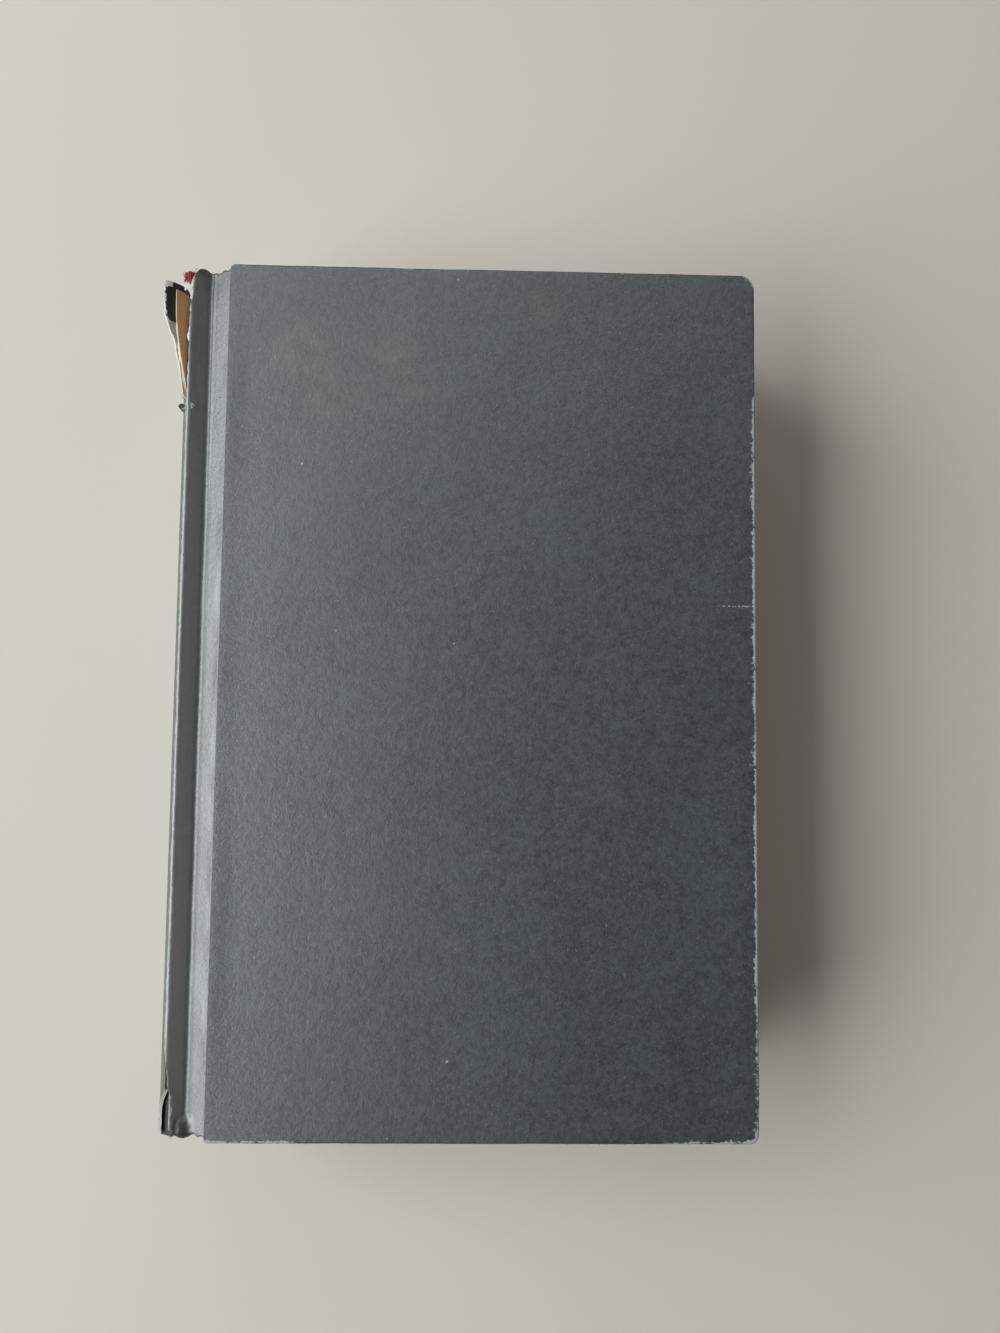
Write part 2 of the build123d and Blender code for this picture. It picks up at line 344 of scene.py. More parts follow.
def wall(points, faces, inner, outer_number=0, inner_number=0, rim_number=0):
    """Closed wall from a sheet and its inner side, with material numbers; a rim's may come by its middles."""
    inner_start = len(points)
    edges = np.concatenate([faces[:, [corner, (corner + 1) % 4]] for corner in range(4)])
    known = set(map(tuple, edges))
    start, stop = np.array([edge for edge in edges if (edge[1], edge[0]) not in known]).T
    rims = np.column_stack([stop, start, start + inner_start, stop + inner_start])
    if callable(rim_number):
        rim_number = rim_number((points[start] + points[stop]) / 2)
    sides = [faces, faces[:, ::-1] + inner_start, rims]
    numbers = [
        np.broadcast_to(number, len(side))
        for number, side in zip((outer_number, inner_number, rim_number), sides)
    ]
    return np.concatenate([points, inner]), np.concatenate(sides), np.concatenate(numbers)


def ply(x, y, z, thickness, number=0):
    """Thin sheet over places along the book, with one material number all round."""
    sheet = np.stack(np.broadcast_arrays(x, y[:, None], z), axis=-1)
    points = sheet.reshape(-1, 3)
    faces = grid_faces(*sheet.shape[:2])
    return wall(points, faces, points - (0, 0, thickness), number, number, number)


def joined(*walls):
    """Several walls as one set of points, faces and material numbers."""
    points, faces, numbers = zip(*walls)
    starts = np.cumsum([0] + [len(part) for part in points])
    faces = [part + start for part, start in zip(faces, starts)]
    return np.concatenate(points), np.concatenate(faces), np.concatenate(numbers)


def make_piece(name, points, faces, numbers, materials, marks=None, merge=False, crease=50):
    """Mesh object with outward faces, a material number for each face and named values on its points."""
    corners = points[faces]
    volume = np.sum(corners[:, 0] * np.cross(corners[:, 1], corners[:, 2]))
    volume += np.sum(corners[:, 0] * np.cross(corners[:, 2], corners[:, 3]))
    if volume < 0:
        faces = faces[:, ::-1]
    mesh = bpy.data.meshes.new(name)
    mesh.from_pydata(points.tolist(), [], faces.tolist())
    for material in materials:
        mesh.materials.append(material)
    mesh.polygons.foreach_set("material_index", np.broadcast_to(numbers, len(faces)).astype(np.int32))
    for mark, values in (marks or {}).items():
        attribute = mesh.attributes.new(mark, "FLOAT", "POINT")
        attribute.data.foreach_set("value", np.asarray(values, np.float32))
    if merge:
        shape = bmesh.new()
        shape.from_mesh(mesh)
        bmesh.ops.remove_doubles(shape, verts=shape.verts, dist=1e-6)
        shape.to_mesh(mesh)
        shape.free()
    mesh.shade_smooth()
    mesh.set_sharp_from_angle(angle=math.radians(crease))
    return show(name, mesh)


def show(name, mesh):
    """Puts a mesh into the scene as an object at the origin."""
    piece = bpy.data.objects.new(name, mesh)
    bpy.context.scene.collection.objects.link(piece)
    return piece


def on_side(points, side):
    """Points made for the front cover's side of the book, moved to a side."""
    return points if side == "front" else points * (1, 1, -1) + (0, 0, TOP)


def filleted(corners, radii, step):
    """Line through corners, with the inner ones rounded, as points about a step apart."""
    corners = [np.array(corner, float) for corner in corners]
    path = [corners[0]]
    for before, corner, after, radius in zip(corners, corners[1:], corners[2:], radii):
        back = (before - corner) / np.linalg.norm(before - corner)
        ahead = (after - corner) / np.linalg.norm(after - corner)
        half = math.acos(np.clip(back @ ahead, -1, 1)) / 2
        middle = (back + ahead) / np.linalg.norm(back + ahead)
        centre = corner + middle * radius / math.sin(half)
        start = corner + back * radius / math.tan(half) - centre
        stop = corner + ahead * radius / math.tan(half) - centre
        for share in np.linspace(0, 1, 12):
            spoke = start * (1 - share) + stop * share
            path.append(centre + spoke * radius / np.linalg.norm(spoke))
    path.append(corners[-1])
    path = np.array(path)
    reach = np.concatenate([[0], np.cumsum(np.linalg.norm(np.diff(path, axis=0), axis=1))])
    even = np.linspace(0, reach[-1], int(reach[-1] / step) + 1)
    return even, np.column_stack([np.interp(even, reach, path[:, axis]) for axis in range(2)])


# Node trees

class Field:
    """A socket that Python's operators can work on."""

    def __init__(self, maker, socket):
        self.maker = maker
        self.socket = socket

    def combine(self, operation, first, second):
        return self.maker.node("ShaderNodeMath", {"operation": operation}, {0: first, 1: second})

    def __add__(self, other):
        return self.combine("ADD", self, other)

    def __radd__(self, other):
        return self.combine("ADD", other, self)

    def __sub__(self, other):
        return self.combine("SUBTRACT", self, other)

    def __mul__(self, other):
        return self.combine("MULTIPLY", self, other)

    def __abs__(self):
        return self.combine("ABSOLUTE", self, 0.0)

    def step(self, low, high):
        """Smooth step from 0 at low to 1 at high; low may be the larger."""
        ends = {"Value": self, "From Min": low, "From Max": high}
        return self.maker.node("ShaderNodeMapRange", {"interpolation_type": "SMOOTHSTEP"}, ends)


class NodeMaker:
    """Adds nodes to one tree."""

    def __init__(self, tree):
        self.tree = tree

    def node(self, kind, settings, sockets, out=0):
        """Node of a kind: its settings are set first, then each socket's value or link."""
        made = self.tree.nodes.new(kind)
        for name, value in settings.items():
            setattr(made, name, value)
        for key, value in sockets.items():
            if isinstance(value, Field):
                self.tree.links.new(value.socket, made.inputs[key])
            else:
                made.inputs[key].default_value = value
        return Field(self, made.outputs[out])


class Paint(NodeMaker):
    """Node tree of one material."""

    def __init__(self, name):
        self.material = bpy.data.materials.new(name)
        self.material.use_nodes = True
        super().__init__(self.material.node_tree)
        self.tree.nodes.clear()
        self.place = self.node("ShaderNodeTexCoord", {}, {}, "Object")

    def axes(self):
        """Object coordinates, one by one."""
        split = self.node("ShaderNodeSeparateXYZ", {}, {"Vector": self.place}).socket.node
        return [Field(self, socket) for socket in split.outputs]

    def stretched(self, x, y, z):
        """Object coordinates, stretched by three factors."""
        return self.node("ShaderNodeMapping", {}, {"Vector": self.place, "Scale": (x, y, z)})

    def noise(self, size, detail=2.0, rough=0.5, place=None, bend=0.0):
        """Soft noise from 0 to 1 with features of a size."""
        sockets = {"Vector": place or self.place, "Scale": 1 / size, "Detail": detail}
        sockets.update({"Roughness": rough, "Distortion": bend})
        return self.node("ShaderNodeTexNoise", {}, sockets)

    def mark(self, name):
        """Value stored on the piece's points."""
        return self.node("ShaderNodeAttribute", {"attribute_name": name}, {}, "Fac")

    def near(self, x, y, z):
        """Distance from a point."""
        sockets = {0: self.place, 1: (x, y, z)}
        return self.node("ShaderNodeVectorMath", {"operation": "DISTANCE"}, sockets, "Value")

    def mix(self, share, first, second):
        """Colour between two colours."""
        first, second = (
            value if isinstance(value, Field) else (*value, 1.0) for value in (first, second)
        )
        return self.node("ShaderNodeMix", {"data_type": "RGBA"}, {0: share, 6: first, 7: second}, 2)

    def finish(self, colour_field, roughness, height, depth, strength, **constants):
        """Surface with a colour, a roughness and bumps; constants go on the shader's own sockets."""
        bumps = {"Height": height, "Distance": depth, "Strength": strength}
        bump = self.node("ShaderNodeBump", {}, bumps)
        sockets = {"Base Color": colour_field, "Roughness": roughness, "Normal": bump}
        for name, value in constants.items():
            sockets[name.replace("_", " ").title().replace("Ior", "IOR")] = value
        surface = self.node("ShaderNodeBsdfPrincipled", {}, sockets)
        output = self.tree.nodes.new("ShaderNodeOutputMaterial")
        self.tree.links.new(surface.socket, output.inputs["Surface"])
        return self.material


class GrowthTree(NodeMaker):
    """Geometry node tree with a mesh of roots, named number inputs, and a material at its end."""

    def __init__(self, name, inputs):
        super().__init__(bpy.data.node_groups.new(name, "GeometryNodeTree"))
        face = self.tree.interface
        face.new_socket(name="Geometry", in_out="INPUT", socket_type="NodeSocketGeometry")
        for label in inputs:
            kind = "NodeSocketInt" if label == "Seed" else "NodeSocketFloat"
            face.new_socket(name=label, in_out="INPUT", socket_type=kind)
        face.new_socket(name="Geometry", in_out="OUTPUT", socket_type="NodeSocketGeometry")
        entry = self.tree.nodes.new("NodeGroupInput")
        self.entry = {socket.name: Field(self, socket) for socket in entry.outputs if socket.name}

    def along(self):
        """Points along the roots' edges, a gap apart."""
        line = self.node("GeometryNodeMeshToCurve", {}, {"Mesh": self.entry["Geometry"]})
        spread = {"Curve": line, "Length": self.entry["Gap"]}
        return self.node("GeometryNodeCurveToPoints", {"mode": "LENGTH"}, spread)

    def chance(self, low, high, seed):
        """Random number for each point."""
        sockets = {2: low, 3: high, "Seed": seed}
        return self.node("FunctionNodeRandomValue", {"data_type": "FLOAT"}, sockets, 1)

    def vector(self, **parts):
        """Vector from its X, Y and Z."""
        return self.node("ShaderNodeCombineXYZ", {}, parts)

    def finish(self, material, **instances):
        """Ends the tree: instances on points made real, with a material."""
        placed = self.node("GeometryNodeInstanceOnPoints", {}, instances)
        real = self.node("GeometryNodeRealizeInstances", {}, {"Geometry": placed})
        smooth = self.node("GeometryNodeSetShadeSmooth", {}, {"Geometry": real})
        dressed = self.node("GeometryNodeSetMaterial", {}, {"Geometry": smooth, "Material": material})
        exit_node = self.tree.nodes.new("NodeGroupOutput")
        self.tree.links.new(dressed.socket, exit_node.inputs[0])

    def tube(self, line, radius, sides):
        """Closed tube along a curve."""
        ring = {"Resolution": sides, "Radius": radius}
        profile = self.node("GeometryNodeCurvePrimitiveCircle", {"mode": "RADIUS"}, ring)
        return self.node(
            "GeometryNodeCurveToMesh", {}, {"Curve": line, "Profile Curve": profile, "Fill Caps": True}
        )

    def grow(self, roots, values):
        """Plain mesh that the tree makes from a mesh of roots."""
        holder = show("roots", roots)
        modifier = holder.modifiers.new("Growth", "NODES")
        modifier.node_group = self.tree
        for item in self.tree.interface.items_tree:
            if item.in_out == "INPUT" and item.name in values:
                modifier[item.identifier] = values[item.name]
        graph = bpy.context.evaluated_depsgraph_get()
        mesh = bpy.data.meshes.new_from_object(holder.evaluated_get(graph))
        holder.modifiers.remove(modifier)
        bpy.data.objects.remove(holder)
        return mesh


def root_mesh(name, mark, points, values, in_line=False):
    """Mesh that a growth tree starts from, with a number or a direction stored on each point."""
    mesh = bpy.data.meshes.new(name)
    edges = [(at, at + 1) for at in range(len(points) - 1)] if in_line else []
    mesh.from_pydata(points.tolist(), edges, [])
    kind, field = ("FLOAT", "value") if np.ndim(values) == 1 else ("FLOAT_VECTOR", "vector")
    attribute = mesh.attributes.new(mark, kind, "POINT")
    attribute.data.foreach_set(field, np.asarray(values, np.float32).ravel())
    return mesh


# Materials

def charcoal_covering(tint):
    """Charcoal paper cloth: grain, faint mottling, smudges, specks, fibres where it is rubbed, painted sheen
    on the front joint and painted shade in its curled ends.
    """
    paint = Paint("worn charcoal paper")
    x, y, z = paint.axes()
    grain = paint.noise(1.25 * MM, 3.0, 0.65)
    fibre = paint.noise(0.5 * MM, 2.0, 0.6)
    cloud = paint.noise(38 * MM, 3.0, 0.55)
    blotch = paint.noise(10 * MM, 3.0, 0.6)
    mottle = paint.noise(2.4 * MM, 3.0, 0.65)
    pale = cloud.step(0.30, 0.75) * 0.2 + blotch.step(0.3, 0.7) * 0.14
    pale = pale + mottle.step(0.32, 0.68) * 0.16
    pale = pale + grain.step(0.40, 0.60) * 0.36 + fibre.step(0.40, 0.60) * 0.34
    body = paint.mix(pale, tint.charcoal, tint.charcoal_pale)
    fleck = paint.noise(0.8 * MM, 2.0, 0.6, bend=0.3)
    body = paint.mix(fleck.step(0.62, 0.73) * 0.45, body, tint.dusty_and_sheen)
    # Painted shade: the front joint's tail knob and curled head end take the dark turn-in tone, standing in
    # for the shade inside those curls
    body = paint.mix(paint.mark("fresh"), body, tint.charcoal_fresh)

    on_front = z.step(TOP - 2 * MM, TOP - 1 * MM)
    patch = paint.noise(6 * MM, 3.0, 0.6, bend=0.4).step(0.35, 0.75)
    stain = 0.0
    for out, end, reach in SMUDGES:
        spot = paint.near(SPINE_EDGE + out * MM, end * MM, TOP)
        stain = stain + spot.step(reach * MM, 0.15 * reach * MM)
    body = paint.mix(stain * patch * on_front * 0.85, body, tint.smudge)

    rubbed_place = paint.mark("wear")
    # Painted sheen: this mark lightens the front joint's rise and slope, more towards the tail, standing in
    # for the light that they catch
    body = paint.mix(paint.mark("dust_and_sheen") * (0.6 + mottle * 0.8), body, tint.dusty_and_sheen)
    threads = paint.noise(0.5 * MM, 2.0, 0.7, paint.stretched(1.0, 0.35, 1.0))
    ragged = fleck * 0.9 + threads * 0.35 + mottle.step(0.35, 0.65) * 0.25
    bare = (rubbed_place * 1.25 + ragged - 1.15).step(0.0, 0.35)

    cells = {"Vector": paint.place, "Scale": 1 / (8 * MM)}
    spots = paint.node("ShaderNodeTexVoronoi", {}, cells)
    cell_tone = paint.node("ShaderNodeTexVoronoi", {}, cells, 1)
    pick = paint.node("ShaderNodeSeparateXYZ", {}, {"Vector": cell_tone})
    specks = spots.step(0.042, 0.018) * pick.step(0.70, 0.72) * 0.75
    for out, end in PALE_SPOTS:
        specks = specks + paint.near(SPINE_EDGE + out * MM, end * MM, TOP).step(0.45 * MM, 0.2 * MM)
    scratch = abs(y - SCRATCH * MM + (fibre - 0.5) * 0.5 * MM).step(0.32 * MM, 0.1 * MM)
    scratch = scratch * x.step(FORE_EDGE - 14 * MM, FORE_EDGE - 5 * MM) * threads.step(0.38, 0.62)
    light = bare + (specks + scratch) * on_front
    worn = light.step(0.0, 1.0)
    colour_field = paint.mix(worn, body, tint.rubbed)
    roughness = 0.445 + (mottle - 0.5) * 0.16 + worn * 0.35
    height = grain * 0.9 + fibre * 0.4 + mottle * 0.7 + worn * 0.6
    return paint.finish(colour_field, roughness, height, 0.11 * MM, 0.8, specular_ior_level=1.0, ior=1.78)


def plain_stock(name, tint, shade, grain, rough, depth, tone, stretch):
    """Paper, card or cloth stock: one tint with cloudy and fibrous changes of tone."""
    paint = Paint(name)
    fibres = paint.noise(grain * MM, 4.0, 0.65, paint.stretched(1, stretch, 1))
    cloud = paint.noise(14 * MM, 3.0, 0.55)
    dark = [channel * (1 - tone) * level for channel, level in zip(tint, shade)]
    share = fibres.step(0.25, 0.75) * 0.6 + cloud.step(0.3, 0.7) * 0.4
    return paint.finish(paint.mix(share, dark, tint), rough + (fibres - 0.5) * 0.1, fibres, depth * MM, 0.6)


def leaf_edges(tint):
    """Edges and faces of the pages: a fine line for each leaf, and dust that darkens some of them."""
    paint = Paint("leaf edges")
    line, section = (
        paint.node(
            "ShaderNodeTexNoise", {"noise_dimensions": "1D"},
            {"W": paint.mark("leaf"), "Scale": 1 / size, "Detail": 2.0},
        )
        for size in (0.16 * MM, 1.5 * MM)
    )
    dust_and_sheen = paint.noise(9 * MM, 4.0, 0.6)
    share = line.step(0.3, 0.7) * 0.5 + section.step(0.3, 0.7) * 0.3 + dust_and_sheen.step(0.3, 0.75) * 0.2
    dark = [channel * level for channel, level in zip(tint, (0.74, 0.70, 0.64))]
    return paint.finish(paint.mix(share, dark, tint), 0.82 + (line - 0.5) * 0.1, line, 0.07 * MM, 0.7)


def woven(name, tint, pitch):
    """Open plain weave of cotton."""
    paint = Paint(name)
    across, along = (
        paint.node("ShaderNodeMath", {"operation": "SINE"}, {0: axis * (2 * math.pi / pitch)})
        for axis in paint.axes()[1:]
    )
    weave = across * along * 0.5 + 0.5
    fuzz = paint.noise(0.3 * MM, 3.0, 0.6)
    dark = [channel * 0.80 for channel in tint]
    share = weave * 0.5 + fuzz * 0.5
    return paint.finish(paint.mix(share, dark, tint), 0.85 + fuzz * 0.1, share, 0.08 * MM, 0.6)


def twisted_thread(tint):
    """Dyed cotton thread with a twist and a faint sheen."""
    paint = Paint("red thread")
    twist = paint.noise(0.25 * MM, 2.0, 0.6, paint.stretched(1.0, 2.2, 1.0))
    tone = paint.noise(2.2 * MM, 2.0, 0.5)
    dark = [channel * 0.55 for channel in tint]
    share = twist.step(0.25, 0.75) * 0.6 + tone * 0.4
    return paint.finish(
        paint.mix(share, dark, tint), 0.55 + twist * 0.2, twist, 0.05 * MM, 0.5, sheen_weight=0.25
    )


def pale_floor(tint):
    """Plain pale studio floor, which fades into the backdrop far from the book."""
    paint = Paint("studio floor")
    cloud = paint.noise(120 * MM, 2.0, 0.5)
    dark = [channel * 0.96 for channel in tint]
    paint.finish(paint.mix(cloud, dark, tint), 0.8 + cloud * 0.05, cloud, 0.02 * MM, 0.2)
    output = paint.tree.nodes["Material Output"]
    surface = Field(paint, output.inputs["Surface"].links[0].from_socket)
    seen = paint.node("ShaderNodeLightPath", {}, {}, "Is Camera Ray")
    far = paint.near(0, 0, 0).step(0.4, 1.05) * seen
    backdrop = paint.node("ShaderNodeEmission", {}, {"Color": (*tint, 1.0), "Strength": BACKDROP})
    faded = paint.node("ShaderNodeMixShader", {}, {0: far, 1: surface, 2: backdrop})
    paint.tree.links.new(faded.socket, output.inputs["Surface"])
    return paint.material


def finishes():
    """All the materials by plain names, made at the first call."""
    tint = book().book_colours
    if not STOCK:
        STOCK["charcoal"] = charcoal_covering(tint)
        for name, (label, shown, *look) in PLAIN_STOCKS.items():
            STOCK[name] = plain_stock(label, getattr(tint, shown), *look)
        STOCK.update(
            leaves=leaf_edges(tint.leaves),
            cloth=woven("back lining", tint.cloth, 0.9 * MM),
            tape=woven("white tape", tint.tape, 0.5 * MM),
            thread=twisted_thread(tint.thread),
        )
    return STOCK


def workshop():
    """Shape, wear and materials, which most steps use."""
    return book().book_shape, book().book_wear, finishes()


def dress(piece, body, slot, *nodes):
    """Lets a piece ride on a body and stand for the nodes that it replaces; its finish slot is not used."""
    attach(piece, body)
    if nodes:
        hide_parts(*nodes)


# Board coverings

def corner_radii(shape):
    """Rounded corners of a cover: at the fore edge or not, towards the head or the tail, and radius."""
    return (
        (True, 1, shape.head_corner), (True, -1, shape.tail_corner),
        (False, 1, shape.spine_corner), (False, -1, shape.spine_corner),
    )


def rounded(x, y, shape):
    """Moves points of a plain rectangle onto rings that follow the cover's rounded corners."""
    for at_fore, end, radius in corner_radii(shape):
        from_side = FORE_EDGE - x if at_fore else x - SPINE_EDGE
        from_end = COVER_END - end * y
        near = (from_side < radius) & (from_end < radius)
        inset = np.minimum(from_side, from_end)
        reach = np.where(near, radius - inset, 1)
        turn = math.pi / 4 * (radius - np.maximum(from_side, from_end)) / reach
        major, minor = reach * np.cos(turn), reach * np.sin(turn)
        on_end = from_end <= from_side
        to_side = radius - np.where(on_end, minor, major)
        to_end = radius - np.where(on_end, major, minor)
        x = np.where(near, FORE_EDGE - to_side if at_fore else SPINE_EDGE + to_side, x)
        y = np.where(near, end * (COVER_END - to_end), y)
    return x, y


def wrap_section(shape):
    """How the covering goes on past a board's face: inset from the outline and drop below the face."""
    roll, drop = shape.cover_roll, TOP - COVER_UNDER
    turns = np.linspace(0, math.pi / 2, 6)[1:]
    over = [(roll * (1 - math.sin(turn)), roll * (1 - math.cos(turn))) for turn in turns]
    side = [(0, roll + (drop - 2 * roll) * share) for share in (0.25, 0.5, 0.75)]
    under = [(inset, drop - fall) for inset, fall in reversed(over)]
    turned = [(inset * MM, drop) for inset in (0.9, 1.4, 2.2, 3.5, 5.5, 8.5, 12)] + [(shape.turn_in, drop)]
    return over + side + under + [(roll, drop)] + turned


def covering_sheet(shape):
    """Outside of a board's covering as one sheet, with insets: face, edges, sides and turn-ins."""
    roll = shape.cover_roll
    across = SPINE_EDGE + graded(FORE_EDGE - SPINE_EDGE - roll, 0.3 * MM, 3.5 * MM)
    along = graded(2 * (COVER_END - roll), 0.3 * MM, 3.5 * MM) - (COVER_END - roll)
    columns, rows = len(across), len(along)
    x, y = (field.ravel() for field in np.meshgrid(across, along))
    faces = [grid_faces(rows, columns)]
    at = np.arange(rows * columns).reshape(rows, columns)
    ring = np.concatenate([at[0, :], at[1:, -1], at[-1, -2::-1]])
    ring_x, ring_y = x[ring], y[ring]
    layers = [np.column_stack([*rounded(x, y, shape), np.full(len(x), TOP)])]
    insets = [np.minimum(np.minimum(FORE_EDGE - x, COVER_END - y), COVER_END + y)]
    before, start = ring, rows * columns
    for inset, drop in wrap_section(shape):
        grow_x = (FORE_EDGE - SPINE_EDGE - inset) / (FORE_EDGE - SPINE_EDGE - roll)
        grow_y = (COVER_END - inset) / (COVER_END - roll)
        flat = rounded(SPINE_EDGE + (ring_x - SPINE_EDGE) * grow_x, ring_y * grow_y, shape)
        layers.append(np.column_stack([*flat, np.full(len(ring), TOP - drop)]))
        insets.append(np.full(len(ring), inset))
        after = start + np.arange(len(ring))
        faces.append(np.column_stack([after[:-1], after[1:], before[1:], before[:-1]]))
        before, start = after, start + len(ring)
    return np.concatenate(layers), np.concatenate(faces), np.concatenate(insets)


def worn_covering(points, faces, inset, shape, wear):
    """Dents and warps a board's covering, and says where it is rubbed."""
    x, y, z = points.T
    normals = point_normals(points, faces)
    upper = z > COVER_UNDER + 0.3 * MM
    hold = ease(x, SPINE_EDGE, SPINE_EDGE + 6 * MM)
    edge = fade(inset, 1.3 * MM) * hold * upper
    dents = 0.5 + 0.35 * waves(x, y, 16 * MM, wear.seed) + 0.25 * waves(x, y, 3.5 * MM, wear.seed + 1)
    warp = -wear.warp * np.clip(1 + waves(x, y, 90 * MM, wear.seed + 2), 0, 2) * hold
    warp *= (z > TOP - 0.1 * MM) * ease(inset, 0, 15 * MM)
    points = points - normals * (wear.dent * np.clip(dents, 0, 1.5) * edge)[:, None]
    points[:, 2] += warp
    past_roll, past_tail, past_head = (
        np.maximum(past - shape.cover_roll, 0) for past in (inset, COVER_END + y, COVER_END - y)
    )
    fore = fade(past_roll, 0.55 * MM) * (FORE_EDGE - x < 4 * MM)
    fore = fore * (0.22 + 0.27 * ease(y, 100 * MM, 80 * MM) * ease(y, -100 * MM, -80 * MM))
    scuff = ease(x, SPINE_EDGE + 34 * MM, SPINE_EDGE + 20 * MM)
    scuff = scuff + ease(x, FORE_EDGE - 36 * MM, FORE_EDGE - 26 * MM)
    tail = fade(past_tail, 0.8 * MM) * (0.14 + 0.40 * scuff)
    head = fade(past_head, 0.5 * MM) * 0.28
    corners = 0.0
    for at_fore, end, radius in corner_radii(shape):
        corner = np.hypot((FORE_EDGE if at_fore else SPINE_EDGE) - x, end * COVER_END - y)
        corners = corners + fade(np.maximum(corner - 0.41 * radius, 0), 1.6 * MM) * 0.55
    patchy = 0.85 + 0.2 * waves(x, y, 5 * MM, wear.seed + 3)
    scatter = fade(FORE_EDGE - x, 5 * MM) * 0.24 * ease(y, 100 * MM, 60 * MM)
    from_arris = np.minimum(TOP - z, z - COVER_UNDER)
    on_side = (inset < 0.05 * MM) * (1 - bell(from_arris, 0, 0.9 * MM))
    rubbed = (np.maximum.reduce([fore, tail, head]) + corners) * patchy * (1 - 0.65 * on_side) + scatter
    return points, np.clip(rubbed * upper, 0, 1)


class BOOK_OT_board_coverings(bpy.types.Operator):
    """Charcoal covering wrapped round each board and turned in under it"""

    bl_idname = "book.board_coverings"
    bl_label = "Board Coverings"

    def execute(self, context):
        shape, wear, stock = workshop()
        sheet, faces, inset = covering_sheet(shape)
        for side in ("front", "back"):
            points, rubbed = worn_covering(sheet, faces, inset, shape, wear)
            inner = points - point_normals(points, faces) * COVERING
            points, all_faces, numbers = wall(points, faces, inner, CHARCOAL, RAW, RAW)
            points = on_side(points, side)
            materials = (stock["charcoal"], stock["raw"])
            marks = {"wear": np.concatenate([rubbed, rubbed])}
            piece = make_piece(f"{side}_covering_wrap", points, all_faces, numbers, materials, marks)
            dress(piece, f"{side}_cover", "charcoal_covering", f"{side}_covering")
        return {"FINISHED"}


# Joints

def groove_section(shape):
    """Outside of the covering across the groove: distances along it, and points as (out, height)."""
    ridge = shape.groove_slope + shape.groove_rise
    ridge_height = TOP - shape.ridge_drop
    rim = ridge + shape.ridge_rim
    corners = [
        (0, TOP), (shape.groove_slope, TOP - shape.valley_drop), (ridge, ridge_height), (rim, ridge_height),
        (rim + shape.rim_droop, ridge_height - 1.1 * shape.rim_droop),
    ]
    return filleted(corners, (shape.groove_round, shape.groove_round, 0.7 * MM), 0.3 * MM)


def torn_shares(shape, y):
    """How far along each tear a place on the spine is: at the head and at the tail."""
    head = np.clip((y - SPINE_HEAD + shape.head_tear) / shape.head_tear, 0, 1)
    tail = np.clip((SPINE_TAIL + shape.tail_tear - y) / shape.tail_tear, 0, 1)
    return head, tail


def torn_edge(shape, y):
    """Distance from the front ridge at which the torn covering of the spine ends."""
    head, tail = torn_shares(shape, y)
    tip_share = ease(head, 0.42, 0.76)
    at_head = ease(head, 0, 0.13) * (shape.flap_loss + (shape.tip_loss - shape.flap_loss) * tip_share)
    return at_head + 1.4 * MM * ease(tail, 0, 0.3)


def rim_loss(y):
    """How far the front rim is worn back at the head, and draws back from the loose spine at the tail."""
    return HEAD_LOSS * ease(y, *HEAD_WORN) + TAIL_LOSS * ease(y, *TAIL_WORN)


def joint_edge(shape, wear, torn, places, rim_reach, full_reach):
    """Ragged rim of a joint, as a reach along its section, and how far each place is torn open."""
    head, tail = torn_shares(shape, places)
    open_share = ease(np.maximum(head, tail) * torn, 0, 0.12)
    rag = jagged(places, 1.1 * MM, wear.seed + 20) * 0.6 + jagged(places, 3.4 * MM, wear.seed + 21) * 0.4
    untorn = full_reach - wear.rag * rag * 0.8
    edge = untorn * (1 - open_share) + (rim_reach + wear.rag * (0.55 - rag)) * open_share
    spread = TEAR_FOOT_SPREAD * bell(places, TEAR_FOOT, TEAR_FOOT_WIDTH)
    return edge + torn * (spread - rim_loss(places)), open_share


def joint_ends(wear, torn, tail_out, head_out):
    """Rolls and reaches of a joint's ends, with a torn one's curl and knob, and where the knob is."""
    at_knob = torn * bell(tail_out, KNOB_OUT, KNOB_WIDTH)
    head_roll = END_ROLL + torn * 0.5 * MM * bell(head_out, LIFT_OUT, 1.6 * MM)
    tail_roll = END_ROLL + 1.5 * MM * at_knob
    frill = 0.7 * MM * jagged(tail_out, 0.8 * MM, wear.seed + 22)
    blunt = 3.0 * MM * ease(head_out, 9.3 * MM, 10.7 * MM) + 0.8 * MM * bell(head_out, 9.4 * MM, 0.7 * MM)
    curled = CURL_REACH * bell(head_out, CURL_OUT, CURL_WIDTH, 4)
    head_reach = JOINT_END - head_roll - frill + torn * (curled - blunt)
    tail_reach = JOINT_END - tail_roll - frill * (1 - at_knob) + 0.9 * MM * at_knob
    return (head_roll, head_reach), (tail_roll, tail_reach), at_knob


def joint_relief(wear, torn, out, y, places, open_share, at_knob):
    """What wear adds to a joint's height: crease, unevenness, lifted head end, sprung rim and knob."""
    crease = CREASE_RISE * bell(out, CREASE_OUT, CREASE_WIDTH) * ease(places, 45 * MM, 80 * MM)
    wander = 0.10 * MM * waves(out, y, 24 * MM, wear.seed + 23) * ease(out, 0, 2 * MM)
    lift = LIFT_RISE * bell(out, LIFT_OUT, LIFT_WIDTH) * ease(places, 109 * MM, 118.4 * MM)
    spring = (0.55 + 0.25 * open_share) * MM * ease(out, 8.4 * MM, 10.9 * MM)
    loop = np.sqrt(1 - np.clip((places + 118 * MM) / (2.3 * MM), 0, 1) ** 2)
    return (crease + wander + lift + spring) * torn + KNOB_RISE * at_knob * loop


